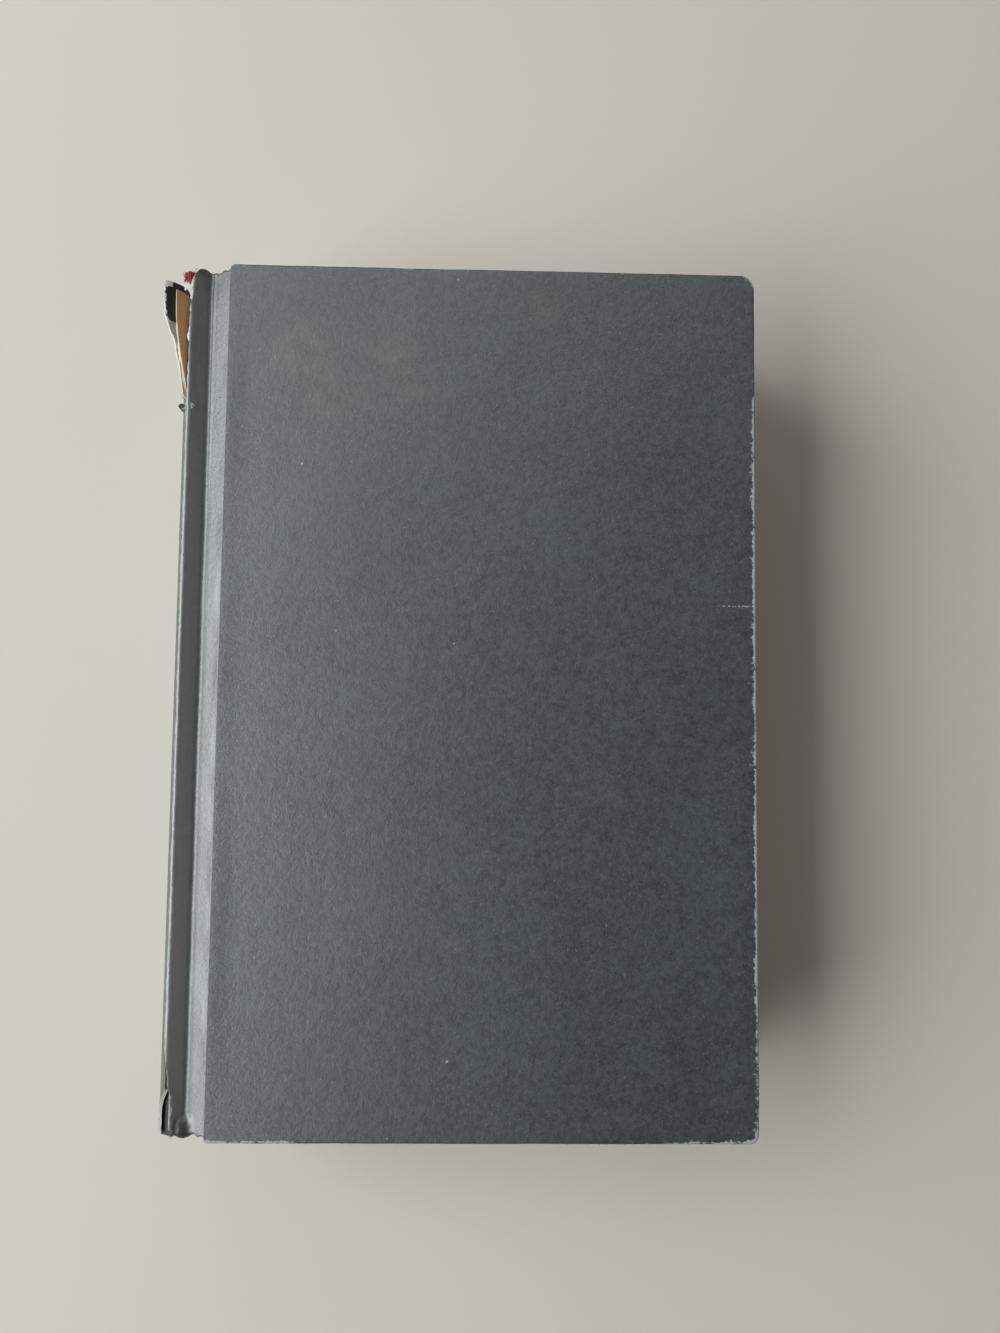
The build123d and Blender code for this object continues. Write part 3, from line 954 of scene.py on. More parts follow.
def joint_marks(wear, torn, x, y, to_rim, open_share):
    """Where a joint is rubbed, where painted sheen lightens it, and where painted shade darkens its curled
    ends in the dark turn-in tone.
    """
    out = SPINE_EDGE - x
    at_curl = ease(y, 104 * MM, 112 * MM) * torn
    rim_width = (0.55 - 0.25 * open_share + 0.4 * at_curl) * MM
    rubbed = (0.9 - 0.3 * open_share + 0.3 * at_curl) * bell(to_rim, 0, rim_width)
    rubbed += 0.35 * fade(JOINT_END - np.abs(y), 0.6 * MM) + 0.30 * fade(np.abs(out), 0.25 * MM)
    rubbed *= 0.75 + 0.4 * waves(x, y, 4 * MM, wear.seed + 24)
    # Painted sheen: the rise and the slope are lightened, more towards the tail, in place of the light that
    # falls on them
    rise_sheen = (0.70 + 0.3 * ease(y, 0, -95 * MM)) * ease(out, 5.8 * MM, 7.2 * MM)
    slope_sheen = 0.16 * ease(out, 0.2 * MM, 1.2 * MM) * ease(out, 5.6 * MM, 4.8 * MM) * ease(y, 90 * MM, 0)
    dust_and_sheen = (rise_sheen + slope_sheen) * ease(y, -118 * MM, -113 * MM)
    # Painted shade: the tail knob and the curled head end are darkened with the turn-in tone
    in_curl = bell(out, 8.2 * MM, 1.3 * MM) * ease(y, 116.6 * MM, 118.2 * MM)
    at_tail = ease(out, 3.6 * MM, 5.4 * MM) * ease(y, -112.5 * MM, -116.5 * MM)
    fresh = torn * (at_tail + 0.9 * in_curl)
    return {"wear": np.clip(rubbed * (1 - 0.5 * fresh), 0, 1), "dust_and_sheen": dust_and_sheen * (1 - fresh), "fresh": fresh}


def joint_sheet(shape, wear, torn):
    """Covering in a groove as a sheet with its marks; a torn one has curled ends and a ragged rim."""
    reach, section = groove_section(shape)
    rim_reach = reach[-1] - 1.35 * shape.rim_droop
    ridge_reach = rim_reach - 3.4 * MM
    places = graded(2 * JOINT_END, 0.35 * MM, 0.7 * MM) - JOINT_END
    edge, open_share = joint_edge(shape, wear, torn, places, rim_reach, reach[-1])
    places, edge, open_share = places[:, None], edge[:, None], open_share[:, None]
    share = np.clip((reach - ridge_reach) / (reach[-1] - ridge_reach), 0, 1)
    along = np.where(share > 0, ridge_reach + share * (edge - ridge_reach), reach)
    out, height = (np.interp(along, reach, line) for line in section.T)
    (head_roll, head_reach), (tail_roll, tail_reach), at_knob = joint_ends(wear, torn, out[0], out[-1])
    y = places * (np.where(places > 0, head_reach, tail_reach) / JOINT_END)
    height = height + joint_relief(wear, torn, out, y, places, open_share, at_knob)
    x = SPINE_EDGE - out
    rows = [np.stack([x, y, height], axis=-1)]
    turns = np.linspace(0, math.radians(150), 9)[1:]
    for turn in turns:
        for end, roll, row in ((1, head_roll, -1), (-1, tail_roll, 0)):
            ahead, drop = end * roll * math.sin(turn), roll * (1 - math.cos(turn))
            rolled = [np.stack([x[row], y[row] + ahead, height[row] - drop], axis=-1)[None]]
            rows = rows + rolled if end > 0 else rolled + rows
    sheet = np.concatenate(rows)
    rolls = ((len(turns), len(turns)), (0, 0))
    to_rim, open_share = (np.pad(values, rolls, mode="edge") for values in (edge - along, open_share))
    marks = joint_marks(wear, torn, sheet[..., 0], sheet[..., 1], to_rim, open_share)
    return sheet, {mark: np.tile(values.ravel(), 2) for mark, values in marks.items()}


def joint_rim(wear, torn, rim_x):
    """Material numbers of a joint's cut rim, by its middles: here and there a torn one is bare."""

    def numbers(middles):
        bare = jagged(middles[:, 1], 2.4 * MM, wear.seed + 25) * torn > 0.72
        return np.where(bare & (middles[:, 0] < rim_x + 2.2 * MM), TORN, CHARCOAL)

    return numbers


def torn_core(shape, wear):
    """White paper core that the torn rim of the front joint shows, ragged along the head tear."""
    low, high = SPINE_HEAD - shape.head_tear + 2 * MM, SPINE_HEAD - 1 * MM
    y = np.linspace(low, high, 110)
    fringe = 0.45 * MM * jagged(y, 1.1 * MM, wear.seed + 30) * jagged(y, 7 * MM, wear.seed + 31)
    chip = 0.5 + 0.7 * jagged(y, 1.3 * MM, wear.seed + 32)
    fringe += CHIP_REACH * bell(y, CHIP_PLACE, CHIP_WIDTH) * chip
    fringe *= ease(y, low, low + 8 * MM) * ease(y, high, high - 3 * MM)
    share = np.linspace(0, 1, 7)
    hidden = 0.9 * MM
    x = RIM + hidden - share * (hidden + fringe[:, None])
    z = TOP - shape.ridge_drop - COVERING - 0.06 * MM - 0.5 * np.maximum(RIM - x, 0)
    return ply(x, y, z, TORN_PLY)


class BOOK_OT_joints(bpy.types.Operator):
    """Covering in the two grooves"""

    bl_idname = "book.joints"
    bl_label = "Joints"

    def execute(self, context):
        shape, wear, stock = workshop()
        materials = (stock["charcoal"], stock["raw"], stock["torn"])
        for side, torn in (("front", 1), ("back", 0)):
            sheet, marks = joint_sheet(shape, wear, torn)
            points, faces = sheet.reshape(-1, 3), grid_faces(*sheet.shape[:2])
            normals = point_normals(points, faces)
            normals *= np.sign(normals[len(points) // 2, 2])
            rim = joint_rim(wear, torn, points[:, 0].min())
            points, faces, numbers = wall(points, faces, points - normals * COVERING, CHARCOAL, RAW, rim)
            points = on_side(points, side)
            piece = make_piece(f"{side}_joint_strip", points, faces, numbers, materials, marks)
            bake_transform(piece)
            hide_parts(f"{side}_joint")
        core = make_piece("front_joint_torn_core", *torn_core(shape, wear), [stock["torn"]])
        dress(core, "book_block", "charcoal_covering")
        return {"FINISHED"}


# Spine of the case

def spine_points(shape, y, from_front, depth):
    """Points of the spine, from places along it, distances from its front ridge and depths inside it."""
    span = spine_span(shape)
    radius = spine_radius(shape)
    walk = np.linspace(0, span, 600)
    head, tail = torn_shares(shape, y)
    bend = shape.rest_bend + shape.head_bend * np.sin(math.pi / 2 * head)
    bend = bend + shape.tail_bend * np.sin(math.pi / 2 * tail)
    fold = np.clip((walk - span + shape.flap_width) / shape.flap_width, 0, 1)
    heading = math.pi / 2 + (span / 2 - walk) / radius + bend[:, None] * fold
    middle = (heading[:, 1:] + heading[:, :-1]) / 2
    zero = np.zeros((len(y), 1))
    x = RIM + np.hstack([zero, np.cumsum(np.cos(middle), axis=1)]) * walk[1]
    z = SPINE_FOOT + np.hstack([zero, np.cumsum(np.sin(middle), axis=1)]) * walk[1]
    z = z - shape.flap_sag * head[:, None] * fold
    x, z, heading = (
        np.array([np.interp(place, walk, line) for place, line in zip(span - from_front, lines)])
        for lines in (x, z, heading)
    )
    place = np.broadcast_to(y[:, None], x.shape)
    return np.stack([x + depth * np.sin(heading), place, z - depth * np.cos(heading)], axis=-1)


def spine_radius(shape):
    """Radius of the spine's round."""
    return arc_radius(MIDDLE - SPINE_FOOT, shape.spine_bulge)


def spine_span(shape):
    """Length of the spine covering's round from ridge to ridge."""
    radius = spine_radius(shape)
    return 2 * radius * math.asin((MIDDLE - SPINE_FOOT) / radius)


def spine_places(shape):
    """Places along the spine, close together at the tears and at the fold of each end."""
    head_start, tail_start = SPINE_HEAD - shape.head_tear, SPINE_TAIL + shape.tail_tear
    fold = np.array([0.4, 0.22, 0.12, 0.05, 0]) * MM
    step = np.array([0, 0.08]) * MM
    rows = [
        np.linspace(tail_start, head_start - 3 * MM, 70),
        np.linspace(head_start - 3 * MM, SPINE_HEAD - 0.5 * MM, 100),
        np.linspace(SPINE_TAIL + 0.5 * MM, tail_start, 34),
        SPINE_HEAD - fold,
        SPINE_TAIL + fold,
        SPINE_HEAD - shape.spine_turn_in + step,
        SPINE_TAIL + shape.spine_turn_in - step,
    ]
    return np.unique(np.concatenate(rows))


def spine_covering_wall(shape, wear):
    """Torn covering of the spine, turned in at head and tail, with its rubbed places."""
    y = spine_places(shape)
    span = spine_span(shape)
    head, tail = torn_shares(shape, y)
    torn = ease(np.maximum(head, tail), 0, 0.05)[:, None]
    rag = jagged(y, 0.9 * MM, wear.seed + 40) * 0.5 + jagged(y, 2.6 * MM, wear.seed + 41) * 0.5
    edge = torn_edge(shape, y)[:, None] + wear.rag * (rag[:, None] - 0.5) * torn
    share = graded(1, 0.004, 0.022)
    from_front = span + (edge - span) * share
    to_end = np.minimum(SPINE_HEAD - y, y - SPINE_TAIL)
    turned = to_end <= shape.spine_turn_in
    full = np.where(turned, 2 * COVERING, COVERING)
    fold = COVERING - np.sqrt(np.maximum(COVERING ** 2 - np.maximum(COVERING - to_end, 0) ** 2, 0))
    along = np.broadcast_to(y[:, None], from_front.shape)
    ripple = 0.15 * MM * waves(from_front, along, 9 * MM, wear.seed + 42) * torn
    ripple = ripple * ease(from_front, 9 * MM, 3 * MM)
    inner_depth = np.maximum(full - fold, fold + 0.01 * MM)
    outer = spine_points(shape, y, from_front, fold[:, None] + ripple)
    inner = spine_points(shape, y, from_front, inner_depth[:, None] + ripple)
    faces = grid_faces(len(y), len(share))
    inside = np.where(turned[:-1] & turned[1:], FRESH_AND_SHADE, RAW)[:, None]
    core = (0.15 + 0.35 * jagged(y, 1.2 * MM, wear.seed + 44) ** 2) * MM
    core = core + 1.6 * MM * ease(head, 0.935, 0.96)
    bare = ((from_front - edge) < core[:, None]) & (torn > 0.5)
    inside = np.where(bare[:-1, 1:], TORN, inside).ravel()

    def rim(middles):
        front_edge = outer[:, -1]
        nearest = np.abs(middles[:, None, 1] - front_edge[None, :, 1]).argmin(axis=1)
        on_edge = np.linalg.norm(middles - front_edge[nearest], axis=1) < 1.2 * MM
        return np.where(on_edge & (torn[nearest, 0] > 0.05), TORN, CHARCOAL)

    outer_points, inner_points = outer.reshape(-1, 3), inner.reshape(-1, 3)
    points, all_faces, numbers = wall(outer_points, faces, inner_points, CHARCOAL, inside, rim)
    rubbed = 0.5 * fade(to_end, 0.7 * MM)[:, None] + 0.6 * fade(from_front - edge, 0.4 * MM)
    rubbed = rubbed + 0.5 * fade(span - from_front, 0.9 * MM)
    rubbed = rubbed * (0.75 + 0.4 * waves(from_front, along, 8 * MM, wear.seed + 43))
    hidden = np.zeros(rubbed.size)
    return points, all_faces, numbers, np.concatenate([np.clip(rubbed, 0, 1).ravel(), hidden])


def spine_card_wall(shape, wear):
    """Card glued inside the spine's covering, with its own finish on the cut edges."""
    y = np.unique(np.clip(spine_places(shape), CARD_TAIL, CARD_HEAD))
    span = spine_span(shape)
    share = graded(1, 0.006, 0.03)
    wander = 0.12 * MM * waves(y, 0 * y, 15 * MM, wear.seed + 50)
    from_front = span - shape.card_margin + (2 * shape.card_margin + wander[:, None] - span) * share
    turned = (y >= SPINE_HEAD - shape.spine_turn_in) | (y <= SPINE_TAIL + shape.spine_turn_in)
    glue = 0.05 * MM
    near = np.where(turned, 2 * COVERING, COVERING) + glue
    far = COVERING + glue + shape.card_thickness
    outer = spine_points(shape, y, from_front, near[:, None] + 0 * from_front)
    inner = spine_points(shape, y, from_front, far + 0 * from_front)
    faces = grid_faces(len(y), len(share))
    return wall(outer.reshape(-1, 3), faces, inner.reshape(-1, 3), rim_number=CARD_EDGE)


def paper_tag(root, ahead, side, size, curl):
    """Little torn tag of covering: a tapering strip from a root that curls as it goes."""
    long, wide = size
    share = np.linspace(0, 1, 9)
    breadth = np.linspace(-0.5, 0.5, 5)
    ahead, side = (np.array(axis) / np.linalg.norm(axis) for axis in (ahead, side))
    up = np.cross(side, ahead)
    turn = curl * share
    step = long / (len(share) - 1)
    forward = np.concatenate([[0], np.cumsum(np.cos(turn[:-1]))]) * step
    rise = np.concatenate([[0], np.cumsum(np.sin(turn[:-1]))]) * step
    taper = wide * (1 - 0.8 * share ** 1.5)
    spine = np.array(root) + forward[:, None] * ahead + rise[:, None] * up
    points = spine[:, None] + breadth[None, :, None] * taper[:, None, None] * side
    points = points.reshape(-1, 3)
    faces = grid_faces(len(share), len(breadth))
    inner = points - point_normals(points, faces) * TAG
    return wall(points, faces, inner, CHARCOAL, RAW, TORN)


def tail_shade_ply(shape):
    """Dark ply of turn-in covering that hangs in the gap between the front rim and the loose spine at the
    tail; it gives the gap its painted shade.
    """
    y = np.linspace(-119.2, -96, 40) * MM
    share = np.linspace(0, 1, 7)
    start = RIM + rim_loss(y) + 0.4 * MM
    stop = RIM - (0.1 + 1.25 * ease(y, -101 * MM, -112 * MM)) * MM
    x = start[:, None] + share * (stop - start)[:, None]
    z = TOP - shape.ridge_drop - COVERING - (0.5 + 2.0 * share) * MM
    # Painted shade: a dark sheet of turn-in covering fills the gap so that it reads as shade
    return ply(x, y, z, TURN_IN_SHADE_PLY, FRESH_AND_SHADE)


def tear_tags(shape):
    """Torn tags of covering at the lower end of the head tear, and the torn dark ply at the tail that gives
    the gap its painted shade.
    """
    foot = np.array([RIM, SPINE_HEAD - shape.head_tear, TOP - shape.ridge_drop])
    strips = [
        paper_tag(foot + np.array(root) * MM, ahead, side, np.array(size) * MM, curl)
        for root, ahead, side, size, curl in (
            ((0.7, -2.2, -0.3), (-1, 0.4, -0.25), (0.4, 1, 0), (3.5, 3.6), 0.9),
            ((1.2, -2.0, 0.3), (-0.7, 0.7, 0.15), (0.7, 0.7, 0), (3.2, 3.0), -0.9),
            ((0.8, 2.8, 0.1), (-0.8, 0.6, 0.2), (0.6, 0.8, 0), (1.5, 1.0), -0.5),
        )
    ]
    return joined(*strips, tail_shade_ply(shape))


class BOOK_OT_spine(bpy.types.Operator):
    """Spine of the case: torn covering, the card inside it and torn tags beside it"""

    bl_idname = "book.spine"
    bl_label = "Spine"

    def execute(self, context):
        shape, wear, stock = workshop()
        materials = (stock["charcoal"], stock["raw"], stock["torn"], stock["fresh"])
        points, faces, numbers, rubbed = spine_covering_wall(shape, wear)
        covering = make_piece("spine_covering_torn", points, faces, numbers, materials, {"wear": rubbed})
        dress(covering, "book_block", "charcoal_covering", "spine_covering")
        card = make_piece(
            "spine_card", *spine_card_wall(shape, wear), (stock["kraft"], stock["card_edge"]), crease=40
        )
        dress(card, "book_block", "kraft_card", "spine_inlay")
        points, faces, numbers = tear_tags(shape)
        rubbed = {"wear": np.full(len(points), 0.35)}
        tags = make_piece("tear_tags", points, faces, numbers, materials, rubbed)
        dress(tags, "book_block", "charcoal_covering")
        return {"FINISHED"}


# Pages

def arc_sag(offset, half, depth):
    """How far an arc of a half chord and a depth stands out at an offset from its middle."""
    radius = arc_radius(half, depth)
    return np.sqrt(radius ** 2 - offset ** 2) - (radius - depth)


def leaf_place(shape, share_across, share_up):
    """Point across the book on a leaf, by shares from the spine to the fore edge and from the bottom up."""
    shoulder_x = PAGE_SPINE - shape.shoulder
    level = 2 * share_up - 1
    back_half, fore_half = SHOULDER_TOP - MIDDLE, BLOCK_TOP - MIDDLE
    left = shoulder_x - arc_sag(level * back_half, back_half, shape.round_depth)
    right = PAGE_FORE - arc_sag(level * fore_half, fore_half, shape.fore_hollow)
    x = left + share_across * (right - left)
    run = np.clip(PAGE_SPINE - x, 0, shape.shoulder)
    flare = shape.shoulder - np.sqrt(shape.shoulder ** 2 - run ** 2)
    return x, MIDDLE + level * (fore_half + flare)


def page_block(shape, wear):
    """Pages as layers of leaves that lie a little unevenly at head, tail and fore edge."""
    draw = np.random.default_rng(wear.seed + 60)
    layers = wear.leaf_layers
    gather = np.repeat(draw.random(layers // 5 + 1), 5)[:layers]
    slip = [wear.leaf_slip * (0.45 * gather + 0.55 * draw.random(layers)) for _ in range(3)]
    edges = np.linspace(0, 1, layers + 1)
    up = np.stack([edges[:-1], edges[1:]], axis=1).ravel()
    head_slip, tail_slip, fore_slip = (np.repeat(values, 2) for values in slip)
    across = np.concatenate([np.linspace(0, 0.09, 10), np.linspace(0.09, 1, 16)[1:]])
    along = np.linspace(1, -1, 15)

    def point(share_across, share_along, row):
        x, z = leaf_place(shape, share_across, up[row])
        x = x - fore_slip[row] * ease(share_across, 0.985, 1)
        reach = np.where(share_along > 0, PAGE_END - head_slip[row], PAGE_END - tail_slip[row])
        return np.stack(np.broadcast_arrays(x, share_along * reach, z), axis=-1)

    rows = np.arange(len(up))[:, None]
    sides = [
        point(across[None, :], np.full((1, len(across)), 1.0), rows),
        point(np.ones((1, len(along))), along[None, :], rows)[:, 1:],
        point(across[None, ::-1], np.full((1, len(across)), -1.0), rows)[:, 1:],
        point(np.zeros((1, len(along))), along[None, ::-1], rows)[:, 1:],
    ]
    ring = np.concatenate(sides, axis=1)
    leaf = np.broadcast_to(up[:, None], ring.shape[:2]).ravel()
    walls = [(ring.reshape(-1, 3), grid_faces(*ring.shape[:2]), np.zeros(0))]
    leaves = [leaf]
    for row, order in ((0, 1), (len(up) - 1, -1)):
        cap = point(across[None, :], along[:, None], np.array([[row]]))
        faces = grid_faces(len(along), len(across))[:, ::order]
        walls.append((cap.reshape(-1, 3), faces, np.zeros(0)))
        leaves.append(np.full(len(along) * len(across), up[row]))
    points, faces, _ = joined(*walls)
    return points, faces, np.concatenate(leaves) * (BLOCK_TOP - (TOP - BLOCK_TOP))


class BOOK_OT_pages(bpy.types.Operator):
    """Pages, rounded at the back and hollow at the fore edge"""

    bl_idname = "book.pages"
    bl_label = "Pages"

    def execute(self, context):
        shape, wear, stock = workshop()
        points, faces, leaf = page_block(shape, wear)
        piece = make_piece(
            "page_block", points, faces, 0, [stock["leaves"]], {"leaf": leaf}, merge=True, crease=30
        )
        dress(piece, "book_block", "pages", "text_block")
        return {"FINISHED"}


# Endpapers, boards and lining

def hinge_strip():
    """Endpaper where it crosses the joint, from the flyleaf to the pastedown."""
    x = np.linspace(PAGE_SPINE + 0.2 * MM, SPINE_EDGE + 0.5 * MM, 22)
    y = np.linspace(-1, 1, 30) * (PAGE_END - 0.4 * MM)
    gap = 0.03 * MM
    low, high = FLYLEAF_TOP + gap, PASTEDOWN_UNDER - gap
    z = low + (high - low) * ease(x, SPINE_EDGE - 3 * MM, SPINE_EDGE)
    return ply(x, y, z, ENDPAPER)


class BOOK_OT_endpapers(bpy.types.Operator):
    """Endpapers, boards and lining, and the strip of endpaper in each joint"""

    bl_idname = "book.endpapers"
    bl_label = "Endpapers and Boards"

    def execute(self, context):
        stock = finishes()
        nodes = {
            "front_flyleaf": "endpaper", "rear_flyleaf": "endpaper", "front_pastedown": "endpaper",
            "back_pastedown": "endpaper", "front_board": "board", "back_board": "board",
            "spine_lining": "cloth",
        }
        for node, material in nodes.items():
            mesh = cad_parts[node].data
            mesh.materials.clear()
            mesh.materials.append(stock[material])
        for side in ("front", "back"):
            points, faces, numbers = hinge_strip()
            points = on_side(points, side)
            piece = make_piece(f"{side}_endpaper_hinge", points, faces, numbers, [stock["endpaper"]])
            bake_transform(piece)
        return {"FINISHED"}


# Head and tail bands

def band_path(shape, loose):
    """Middle of a band's bead as (x, z) across the book, and its heading; a loose end curls outwards."""
    back_half = SHOULDER_TOP - MIDDLE
    radius = arc_radius(back_half, shape.round_depth)
    centre_x = PAGE_SPINE - shape.shoulder - shape.round_depth + radius
    half_turn = math.asin(back_half / radius)
    depth = shape.bead_radius - shape.lining - TAPE
    stop = half_turn - (LOOSE_START if loose else shape.band_margin) / radius
    turn = np.linspace(-half_turn + shape.band_margin / radius, stop, 60)
    path = np.column_stack(
        [centre_x - (radius - depth) * np.cos(turn), MIDDLE + (radius - depth) * np.sin(turn)]
    )
    heading = math.pi / 2 - turn
    if loose:
        left = np.array([-math.sin(heading[-1]), math.cos(heading[-1])])
        centre = path[-1] + left * LOOSE_RADIUS
        bent = heading[-1] + np.linspace(0, LOOSE_TURN, 16)[1:]
        ends = centre - np.column_stack([-np.sin(bent), np.cos(bent)]) * LOOSE_RADIUS
        run = np.linspace(0, LOOSE_END, 6)[1:, None]
        tail = ends[-1] + run * np.array([math.cos(bent[-1]), math.sin(bent[-1])])
        path = np.concatenate([path, ends, tail])
        heading = np.concatenate([heading, bent, np.full(len(run), bent[-1])])
    return path, heading


def wrap_tree(material):
    """Threads wrapped side by side round a path."""
    tree = GrowthTree("Thread wraps", ("Gap", "Wrap Radius", "Thread Radius", "Lean", "Seed"))
    spread = tree.along()
    ring = {"Resolution": 14, "Radius": tree.entry["Wrap Radius"]}
    loop = tree.node("GeometryNodeCurvePrimitiveCircle", {"mode": "RADIUS"}, ring)
    thread = tree.tube(loop, tree.entry["Thread Radius"], 6)
    tilt = tree.node("FunctionNodeEulerToRotation", {}, {0: tree.vector(X=tree.entry["Lean"])})
    rotation = Field(tree, spread.socket.node.outputs["Rotation"])
    tilted = tree.node("FunctionNodeRotateRotation", {"rotation_space": "LOCAL"}, {0: rotation, 1: tilt})
    plump = tree.node("GeometryNodeInputNamedAttribute", {"data_type": "FLOAT"}, {"Name": "plump"})
    size = tree.chance(0.84, 1.16, tree.entry["Seed"]) * plump
    tree.finish(material, Points=spread, Instance=thread, Rotation=tilted, Scale=size)
    return tree


def stitch_tree(material):
    """Short threads that hang from a path by uneven lengths."""
    tree = GrowthTree("Tie-down threads", ("Gap", "Length", "Thread Radius", "Seed"))
    ends = {"Start": (0, 0, 0), "End": tree.vector(Y=tree.entry["Length"])}
    stroke = tree.node("GeometryNodeCurvePrimitiveLine", {"mode": "POINTS"}, ends)
    thread = tree.tube(stroke, tree.entry["Thread Radius"], 6)
    size = tree.vector(X=1.0, Y=tree.chance(0.35, 1.0, tree.entry["Seed"]), Z=1.0)
    tree.finish(material, Points=tree.along(), Instance=thread, Scale=size)
    return tree


def tube_wall(path, radius, sides):
    """Round bar along points across the book, with closed ends."""
    along = np.gradient(path, axis=0)
    along /= np.linalg.norm(along, axis=1, keepdims=True)
    side = np.array([0, 1, 0])
    up = np.cross(along, side)
    turns = np.linspace(0, 2 * math.pi, sides + 1)
    spokes = np.cos(turns)[None, :, None] * side + np.sin(turns)[None, :, None] * up[:, None]
    rings = path[:, None] + radius[:, None, None] * spokes
    first, last = (np.repeat(end, sides + 1, axis=0)[None] for end in (path[:1], path[-1:]))
    rings = np.concatenate([first, rings, last])
    faces = grid_faces(len(rings), sides + 1)
    return rings.reshape(-1, 3), faces, np.full(len(faces), BEAD_CORE)


def band_pieces(shape, wear, stock, end, name):
    """One band: tape and bead core as one piece, and the threads wrapped round the bead as another."""
    loose = end > 0
    path, heading = band_path(shape, loose)
    bead_y = end * (PAGE_END + shape.bead_radius)
    bead = np.column_stack([path[:, 0], np.full(len(path), bead_y), path[:, 1]])
    out = np.column_stack([-np.sin(heading), np.zeros(len(path)), np.cos(heading)])
    face = bead + out * (shape.bead_radius - 0.12 * MM)
    walked = np.concatenate([[0], np.cumsum(np.linalg.norm(np.diff(path, axis=0), axis=1))])
    frayed = ease(walked, walked[-1] - 9 * MM, walked[-1] - 5 * MM) * loose
    stub = (2.3 + 1.7 * jagged(walked, 0.7 * MM, wear.seed + 65)) * MM
    depth = shape.tape_drop + (stub - shape.tape_drop) * frayed
    drop = np.linspace(0, 1, 12) * depth[:, None]
    tape = face[:, None] - np.array([0, end, 0]) * drop[:, :, None]
    inner = (tape - out[:, None] * TAPE).reshape(-1, 3)
    tape_wall = wall(tape.reshape(-1, 3), grid_faces(*tape.shape[:2]), inner)
    to_end = np.minimum(walked, walked[-1] - walked)
    plump = np.sqrt(1 - (1 - np.clip(to_end / shape.bead_radius, 0.06, 1)) ** 2)
    both = joined(tape_wall, tube_wall(bead, shape.bead_radius * 0.8 * plump, 12))
    piece = make_piece(f"{name}_tape", *both, (stock["tape"], stock["thread"]), merge=True)
    thread_radius = shape.thread_gap * 0.56
    wraps = wrap_tree(stock["thread"]).grow(
        root_mesh("bead", "plump", bead, plump, True),
        {
            "Gap": shape.thread_gap, "Wrap Radius": shape.bead_radius - thread_radius * 0.6,
            "Thread Radius": thread_radius, "Lean": 0.22, "Seed": wear.seed,
        },
    )
    threads = show(f"{name}_threads", wraps)
    inside = face - out * TAPE if loose else face
    hung = inside - np.array([0, end * 0.7 * shape.bead_radius, 0])
    ties = stitch_tree(stock["thread"]).grow(
        root_mesh("ties", "plump", hung, plump, True),
        {
            "Gap": 1.7 * shape.thread_gap, "Length": -end * 1.1 * MM,
            "Thread Radius": thread_radius * 0.8, "Seed": wear.seed,
        },
    )
    return piece, threads, show(f"{name}_ties", ties)


class BOOK_OT_bands(bpy.types.Operator):
    """Head and tail bands: white tape with a bead of red thread"""

    bl_idname = "book.bands"
    bl_label = "Head and Tail Bands"

    def execute(self, context):
        shape, wear, stock = workshop()
        for end, name in ((1, "head_band"), (-1, "tail_band")):
            tape, threads, ties = band_pieces(shape, wear, stock, end, name)
            dress(tape, "book_block", "lining_cloth", name)
            dress(threads, "book_block", "band_thread")
            dress(ties, "book_block", "band_thread")
        return {"FINISHED"}


# Loose fibres

def fibre_tree(material):
    """Bent fibres that stand on roots along each root's own direction."""
    tree = GrowthTree("Loose fibres", ("Length", "Radius", "Spread", "Seed"))
    long, spread, seed = (tree.entry[name] for name in ("Length", "Spread", "Seed"))
    half, tip = tree.vector(Z=long * 0.5), tree.vector(X=long * 0.45, Z=long * 0.8)
    bow = {"Resolution": 5, "Start": (0, 0, 0), "Middle": half, "End": tip}
    line = tree.node("GeometryNodeCurveQuadraticBezier", {}, bow)
    fibre = tree.tube(line, tree.entry["Radius"], 4)
    lean = tree.node("GeometryNodeInputNamedAttribute", {"data_type": "FLOAT_VECTOR"}, {"Name": "lean"})
    stand = tree.node("FunctionNodeAlignRotationToVector", {"axis": "Z"}, {"Vector": lean})
    low = tree.vector(X=spread * -1.0, Y=spread * -1.0, Z=-3.0)
    turns = {0: low, 1: tree.vector(X=spread, Y=spread, Z=3.0), "Seed": seed}
    turn = tree.node("FunctionNodeRandomValue", {"data_type": "FLOAT_VECTOR"}, turns)
    tilt = tree.node("FunctionNodeEulerToRotation", {}, {0: turn})
    rotation = tree.node("FunctionNodeRotateRotation", {"rotation_space": "LOCAL"}, {0: stand, 1: tilt})
    size = tree.chance(0.35, 1.1, seed + 1.0)
    tree.finish(material, Points=tree.entry["Geometry"], Instance=fibre, Rotation=rotation, Scale=size)
    return tree


def ridge_roots(shape, wear):
    """Roots along the worn front rim, thickest at the two ends of the tears."""
    draw = np.random.default_rng(wear.seed + 70)
    number = wear.fibre_count
    foot = SPINE_HEAD - shape.head_tear
    y = np.concatenate(
        [
            draw.uniform(-JOINT_END, JOINT_END, number * 4 // 10),
            draw.normal(foot - 0.5 * MM, 2.0 * MM, number // 10),
            draw.uniform(foot, JOINT_END, number * 2 // 10),
            draw.uniform(-JOINT_END, -JOINT_END + 14 * MM, number * 2 // 10),
        ]
    )
    head, tail = torn_shares(shape, y)
    torn = np.maximum(head, tail) > 0
    droop = np.where(torn, 0, draw.uniform(0, 0.5, len(y))) * shape.rim_droop
    x = RIM + draw.uniform(-0.1, 0.7, len(y)) * MM - droop + rim_loss(y)
    z = TOP - shape.ridge_drop - 0.06 * MM - droop * 0.8
    outward, sideways = -draw.uniform(0.5, 1.0, len(y)), draw.normal(0, 0.9, len(y))
    lean = np.column_stack([outward, sideways, draw.uniform(-0.3, 0.35, len(y))])
    return np.column_stack([x, y, z]), lean


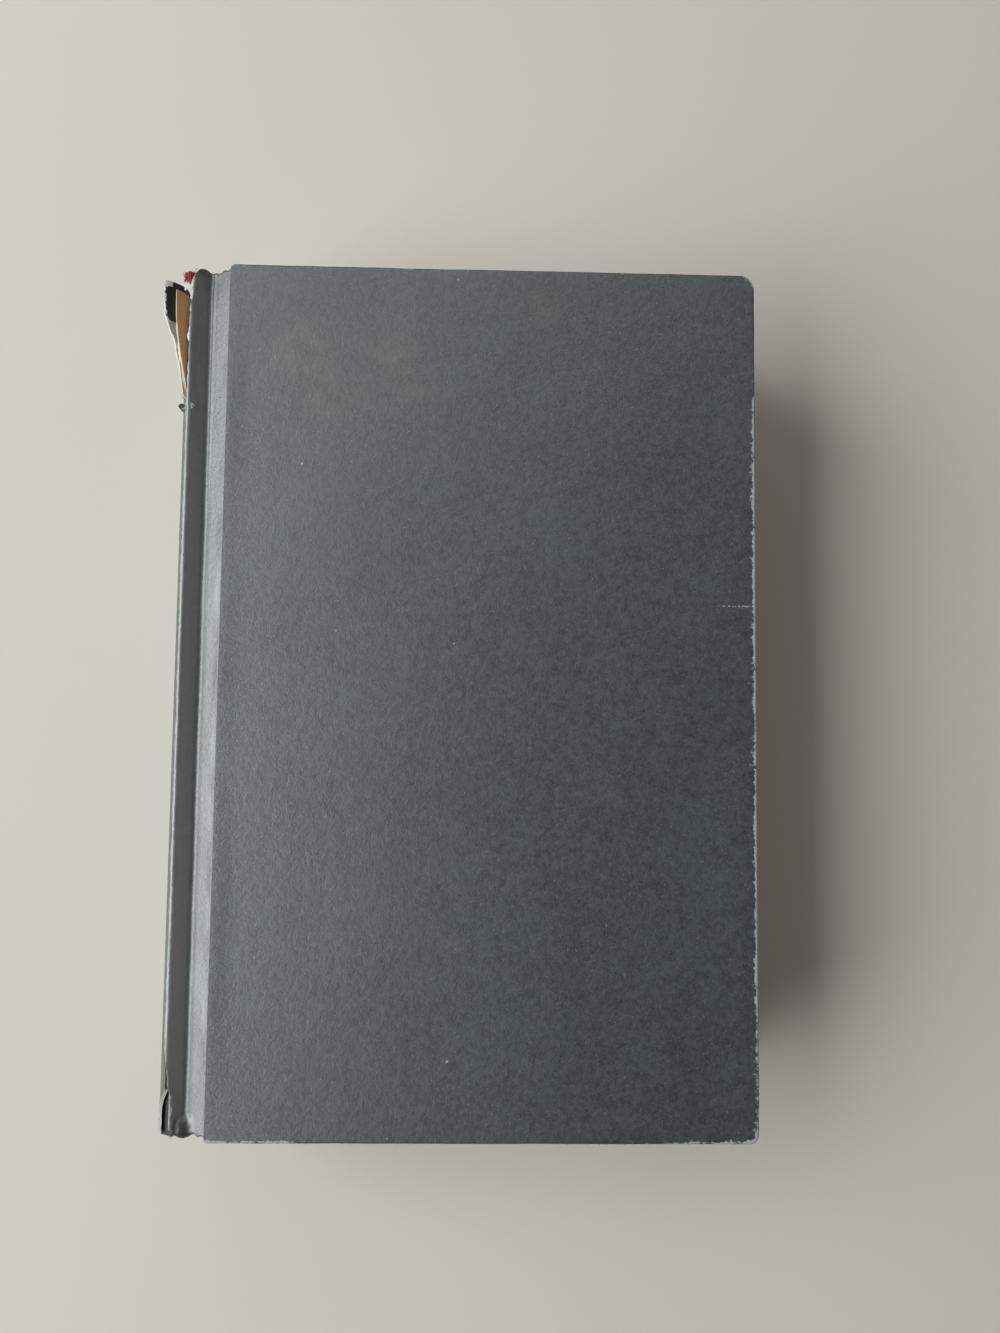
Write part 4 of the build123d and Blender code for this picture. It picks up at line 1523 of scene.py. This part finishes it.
def flap_roots(shape, wear):
    """Roots along the torn edge of the flap at the head."""
    draw = np.random.default_rng(wear.seed + 71)
    low, high = SPINE_HEAD - shape.head_tear + 1 * MM, SPINE_HEAD - 0.3 * MM
    y = np.sort(draw.uniform(low, high, wear.fibre_count // 6))
    edge = torn_edge(shape, y)[:, None]
    points = spine_points(shape, y, edge + 0.5 * MM, np.full((len(y), 1), 0.2 * MM))[:, 0]
    ahead = spine_points(shape, y, edge, np.full((len(y), 1), 0.2 * MM))[:, 0] - points
    ahead /= np.linalg.norm(ahead, axis=1, keepdims=True)
    return points, ahead + draw.normal(0, 0.35, ahead.shape)


def cover_roots(shape, wear):
    """Roots along the rubbed fore and tail edges of the front cover."""
    draw = np.random.default_rng(wear.seed + 72)
    number = wear.fibre_count // 3
    on_fore = draw.random(number) < 0.6
    y = np.where(on_fore, draw.uniform(-112, 95, number) * MM, -COVER_END + 0.1 * MM)
    on_tail = draw.uniform(SPINE_EDGE + 2 * MM, FORE_EDGE - 4 * MM, number)
    x = np.where(on_fore, FORE_EDGE - 0.1 * MM, on_tail)
    z = TOP - draw.uniform(0.3, 1.4, number) * MM
    outward = np.where(on_fore, 0.8, draw.normal(0, 0.5, number))
    sideways = np.where(on_fore, draw.normal(0, 0.6, number), -0.8)
    return np.column_stack([x, y, z]), np.column_stack([outward, sideways, draw.normal(0.1, 0.4, number)])


def band_roots(shape, wear):
    """Roots on the loose front end of the head band's bead."""
    draw = np.random.default_rng(wear.seed + 73)
    path, _ = band_path(shape, True)
    number = wear.fibre_count // 4
    pick = draw.integers(len(path) - 24, len(path), number)
    turn = draw.uniform(0, 2 * math.pi, number)
    lean = np.column_stack([draw.normal(-0.2, 0.5, number), np.cos(turn), np.sin(turn)])
    middle = np.column_stack([path[pick, 0], np.full(number, PAGE_END + shape.bead_radius), path[pick, 1]])
    return middle + 0.85 * shape.bead_radius * lean * (0, 1, 1), lean


class BOOK_OT_fibres(bpy.types.Operator):
    """Loose fibres along the ridge, the tears, the rubbed edges and the loose end of the head band"""

    bl_idname = "book.fibres"
    bl_label = "Loose Fibres"

    def execute(self, context):
        shape, wear, stock = workshop()
        values = {"Spread": 0.6, "Seed": wear.seed}
        for name, roots, material, body, long, thick, slot in (
            ("ridge_fibres", ridge_roots, "frayed", "book_block", 0.9, 1.0, "charcoal_covering"),
            ("flap_fibres", flap_roots, "torn", "book_block", 0.6, 1.0, "charcoal_covering"),
            ("cover_fibres", cover_roots, "frayed", "front_cover", 0.45, 1.0, "charcoal_covering"),
            ("head_band_fuzz", band_roots, "thread", "book_block", 0.6, 1.9, "band_thread"),
        ):
            values.update(Length=wear.fibre_length * long, Radius=wear.fibre_radius * thick)
            start = root_mesh(name, "lean", *roots(shape, wear))
            grown = fibre_tree(stock[material]).grow(start, values)
            dress(show(name, grown), body, slot)
        return {"FINISHED"}


# Stage

def soft_light(name, place, size, watts, tint):
    """Soft rectangular light that faces the book."""
    lamp = bpy.data.lights.new(name, "AREA")
    lamp.shape = "RECTANGLE"
    lamp.size, lamp.size_y = size
    lamp.energy, lamp.color = watts, tint
    light = bpy.data.objects.new(name, lamp)
    light.location = place
    light.rotation_euler = Vector(place).to_track_quat("Z", "Y").to_euler()
    light.visible_camera = False
    bpy.context.scene.collection.objects.link(light)


def studio_world(tint, daylight, room):
    """Faint light from all round, with a pale backdrop that only the camera sees."""
    world = bpy.data.worlds.new("studio")
    world.use_nodes = True
    world.node_tree.nodes.clear()
    maker = NodeMaker(world.node_tree)
    seen = maker.node("ShaderNodeLightPath", {}, {}, "Is Camera Ray")
    light = maker.node("ShaderNodeBackground", {}, {"Color": (*daylight, 1.0), "Strength": room})
    backdrop = maker.node("ShaderNodeBackground", {}, {"Color": (*tint, 1.0), "Strength": BACKDROP})
    mixed = maker.node("ShaderNodeMixShader", {}, {0: seen, 1: light, 2: backdrop})
    output = world.node_tree.nodes.new("ShaderNodeOutputWorld")
    world.node_tree.links.new(mixed.socket, output.inputs["Surface"])
    return world


class BOOK_OT_stage(bpy.types.Operator):
    """Pale floor, soft window light from the left and the camera overhead"""

    bl_idname = "book.stage"
    bl_label = "Stage"

    def execute(self, context):
        scene, studio = context.scene, book().book_studio
        scene.view_settings.view_transform = "Standard"
        corners = FLOOR_REACH * np.array([(-1, -1, 0), (1, -1, 0), (1, 1, 0), (-1, 1, 0)])
        mesh = bpy.data.meshes.new("studio_floor")
        mesh.from_pydata((corners - (0, 0, FLOOR_DROP)).tolist(), [], [(0, 1, 2, 3)])
        mesh.materials.append(pale_floor(book().book_colours.floor))
        show("studio_floor", mesh)
        white, daylight = (1, 1, 1), book().book_colours.daylight
        soft_light("window", (-1.2, -0.06, 1.0), (2.0, 1.3), studio.window_power, daylight)
        soft_light("head_light", (-0.2, 1.1, 1.1), (1.2, 1.2), studio.head_power, daylight)
        soft_light("fore_light", (1.4, 0.0, 0.60), (1.4, 0.8), studio.fore_power, white)
        scene.world = studio_world(book().book_colours.floor, daylight, studio.room)
        lens = bpy.data.cameras.new("camera")
        lens.lens, lens.sensor_width = studio.lens, 36
        camera = bpy.data.objects.new("camera", lens)
        camera.rotation_mode = "ZYX"
        camera.location, camera.rotation_euler = studio.camera_place, studio.camera_turn
        lens.clip_start = 0.01
        scene.collection.objects.link(camera)
        scene.camera = camera
        return {"FINISHED"}


# Panel and registration

OPERATORS = (
    BOOK_OT_board_coverings, BOOK_OT_joints, BOOK_OT_spine, BOOK_OT_pages, BOOK_OT_endpapers,
    BOOK_OT_bands, BOOK_OT_fibres, BOOK_OT_stage,
)
SETTINGS = {
    "book_shape": BookShape, "book_wear": BookWear, "book_colours": BookColours, "book_studio": BookStudio,
}


class BOOK_PT_panel(bpy.types.Panel):
    """Steps that dress the book, and their settings"""

    bl_idname = "BOOK_PT_panel"
    bl_label = "Torn Hardback Book"
    bl_space_type = "VIEW_3D"
    bl_region_type = "UI"
    bl_category = "Book"

    def draw(self, context):
        for step in OPERATORS:
            self.layout.operator(step.bl_idname)
        for group in SETTINGS:
            box = self.layout.box()
            for name in SETTINGS[group].__annotations__:
                box.prop(getattr(context.scene, group), name)


def register():
    for group in (*SETTINGS.values(), *OPERATORS, BOOK_PT_panel):
        bpy.utils.register_class(group)
    for name, group in SETTINGS.items():
        setattr(bpy.types.Scene, name, bpy.props.PointerProperty(type=group))


def unregister():
    for name in SETTINGS:
        delattr(bpy.types.Scene, name)
    for group in (BOOK_PT_panel, *reversed(OPERATORS), *SETTINGS.values()):
        bpy.utils.unregister_class(group)


def main():
    """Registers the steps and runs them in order."""
    register()
    for step in OPERATORS:
        area, name = step.bl_idname.split(".")
        getattr(getattr(bpy.ops, area), name)()


if __name__ == "__main__":
    main()
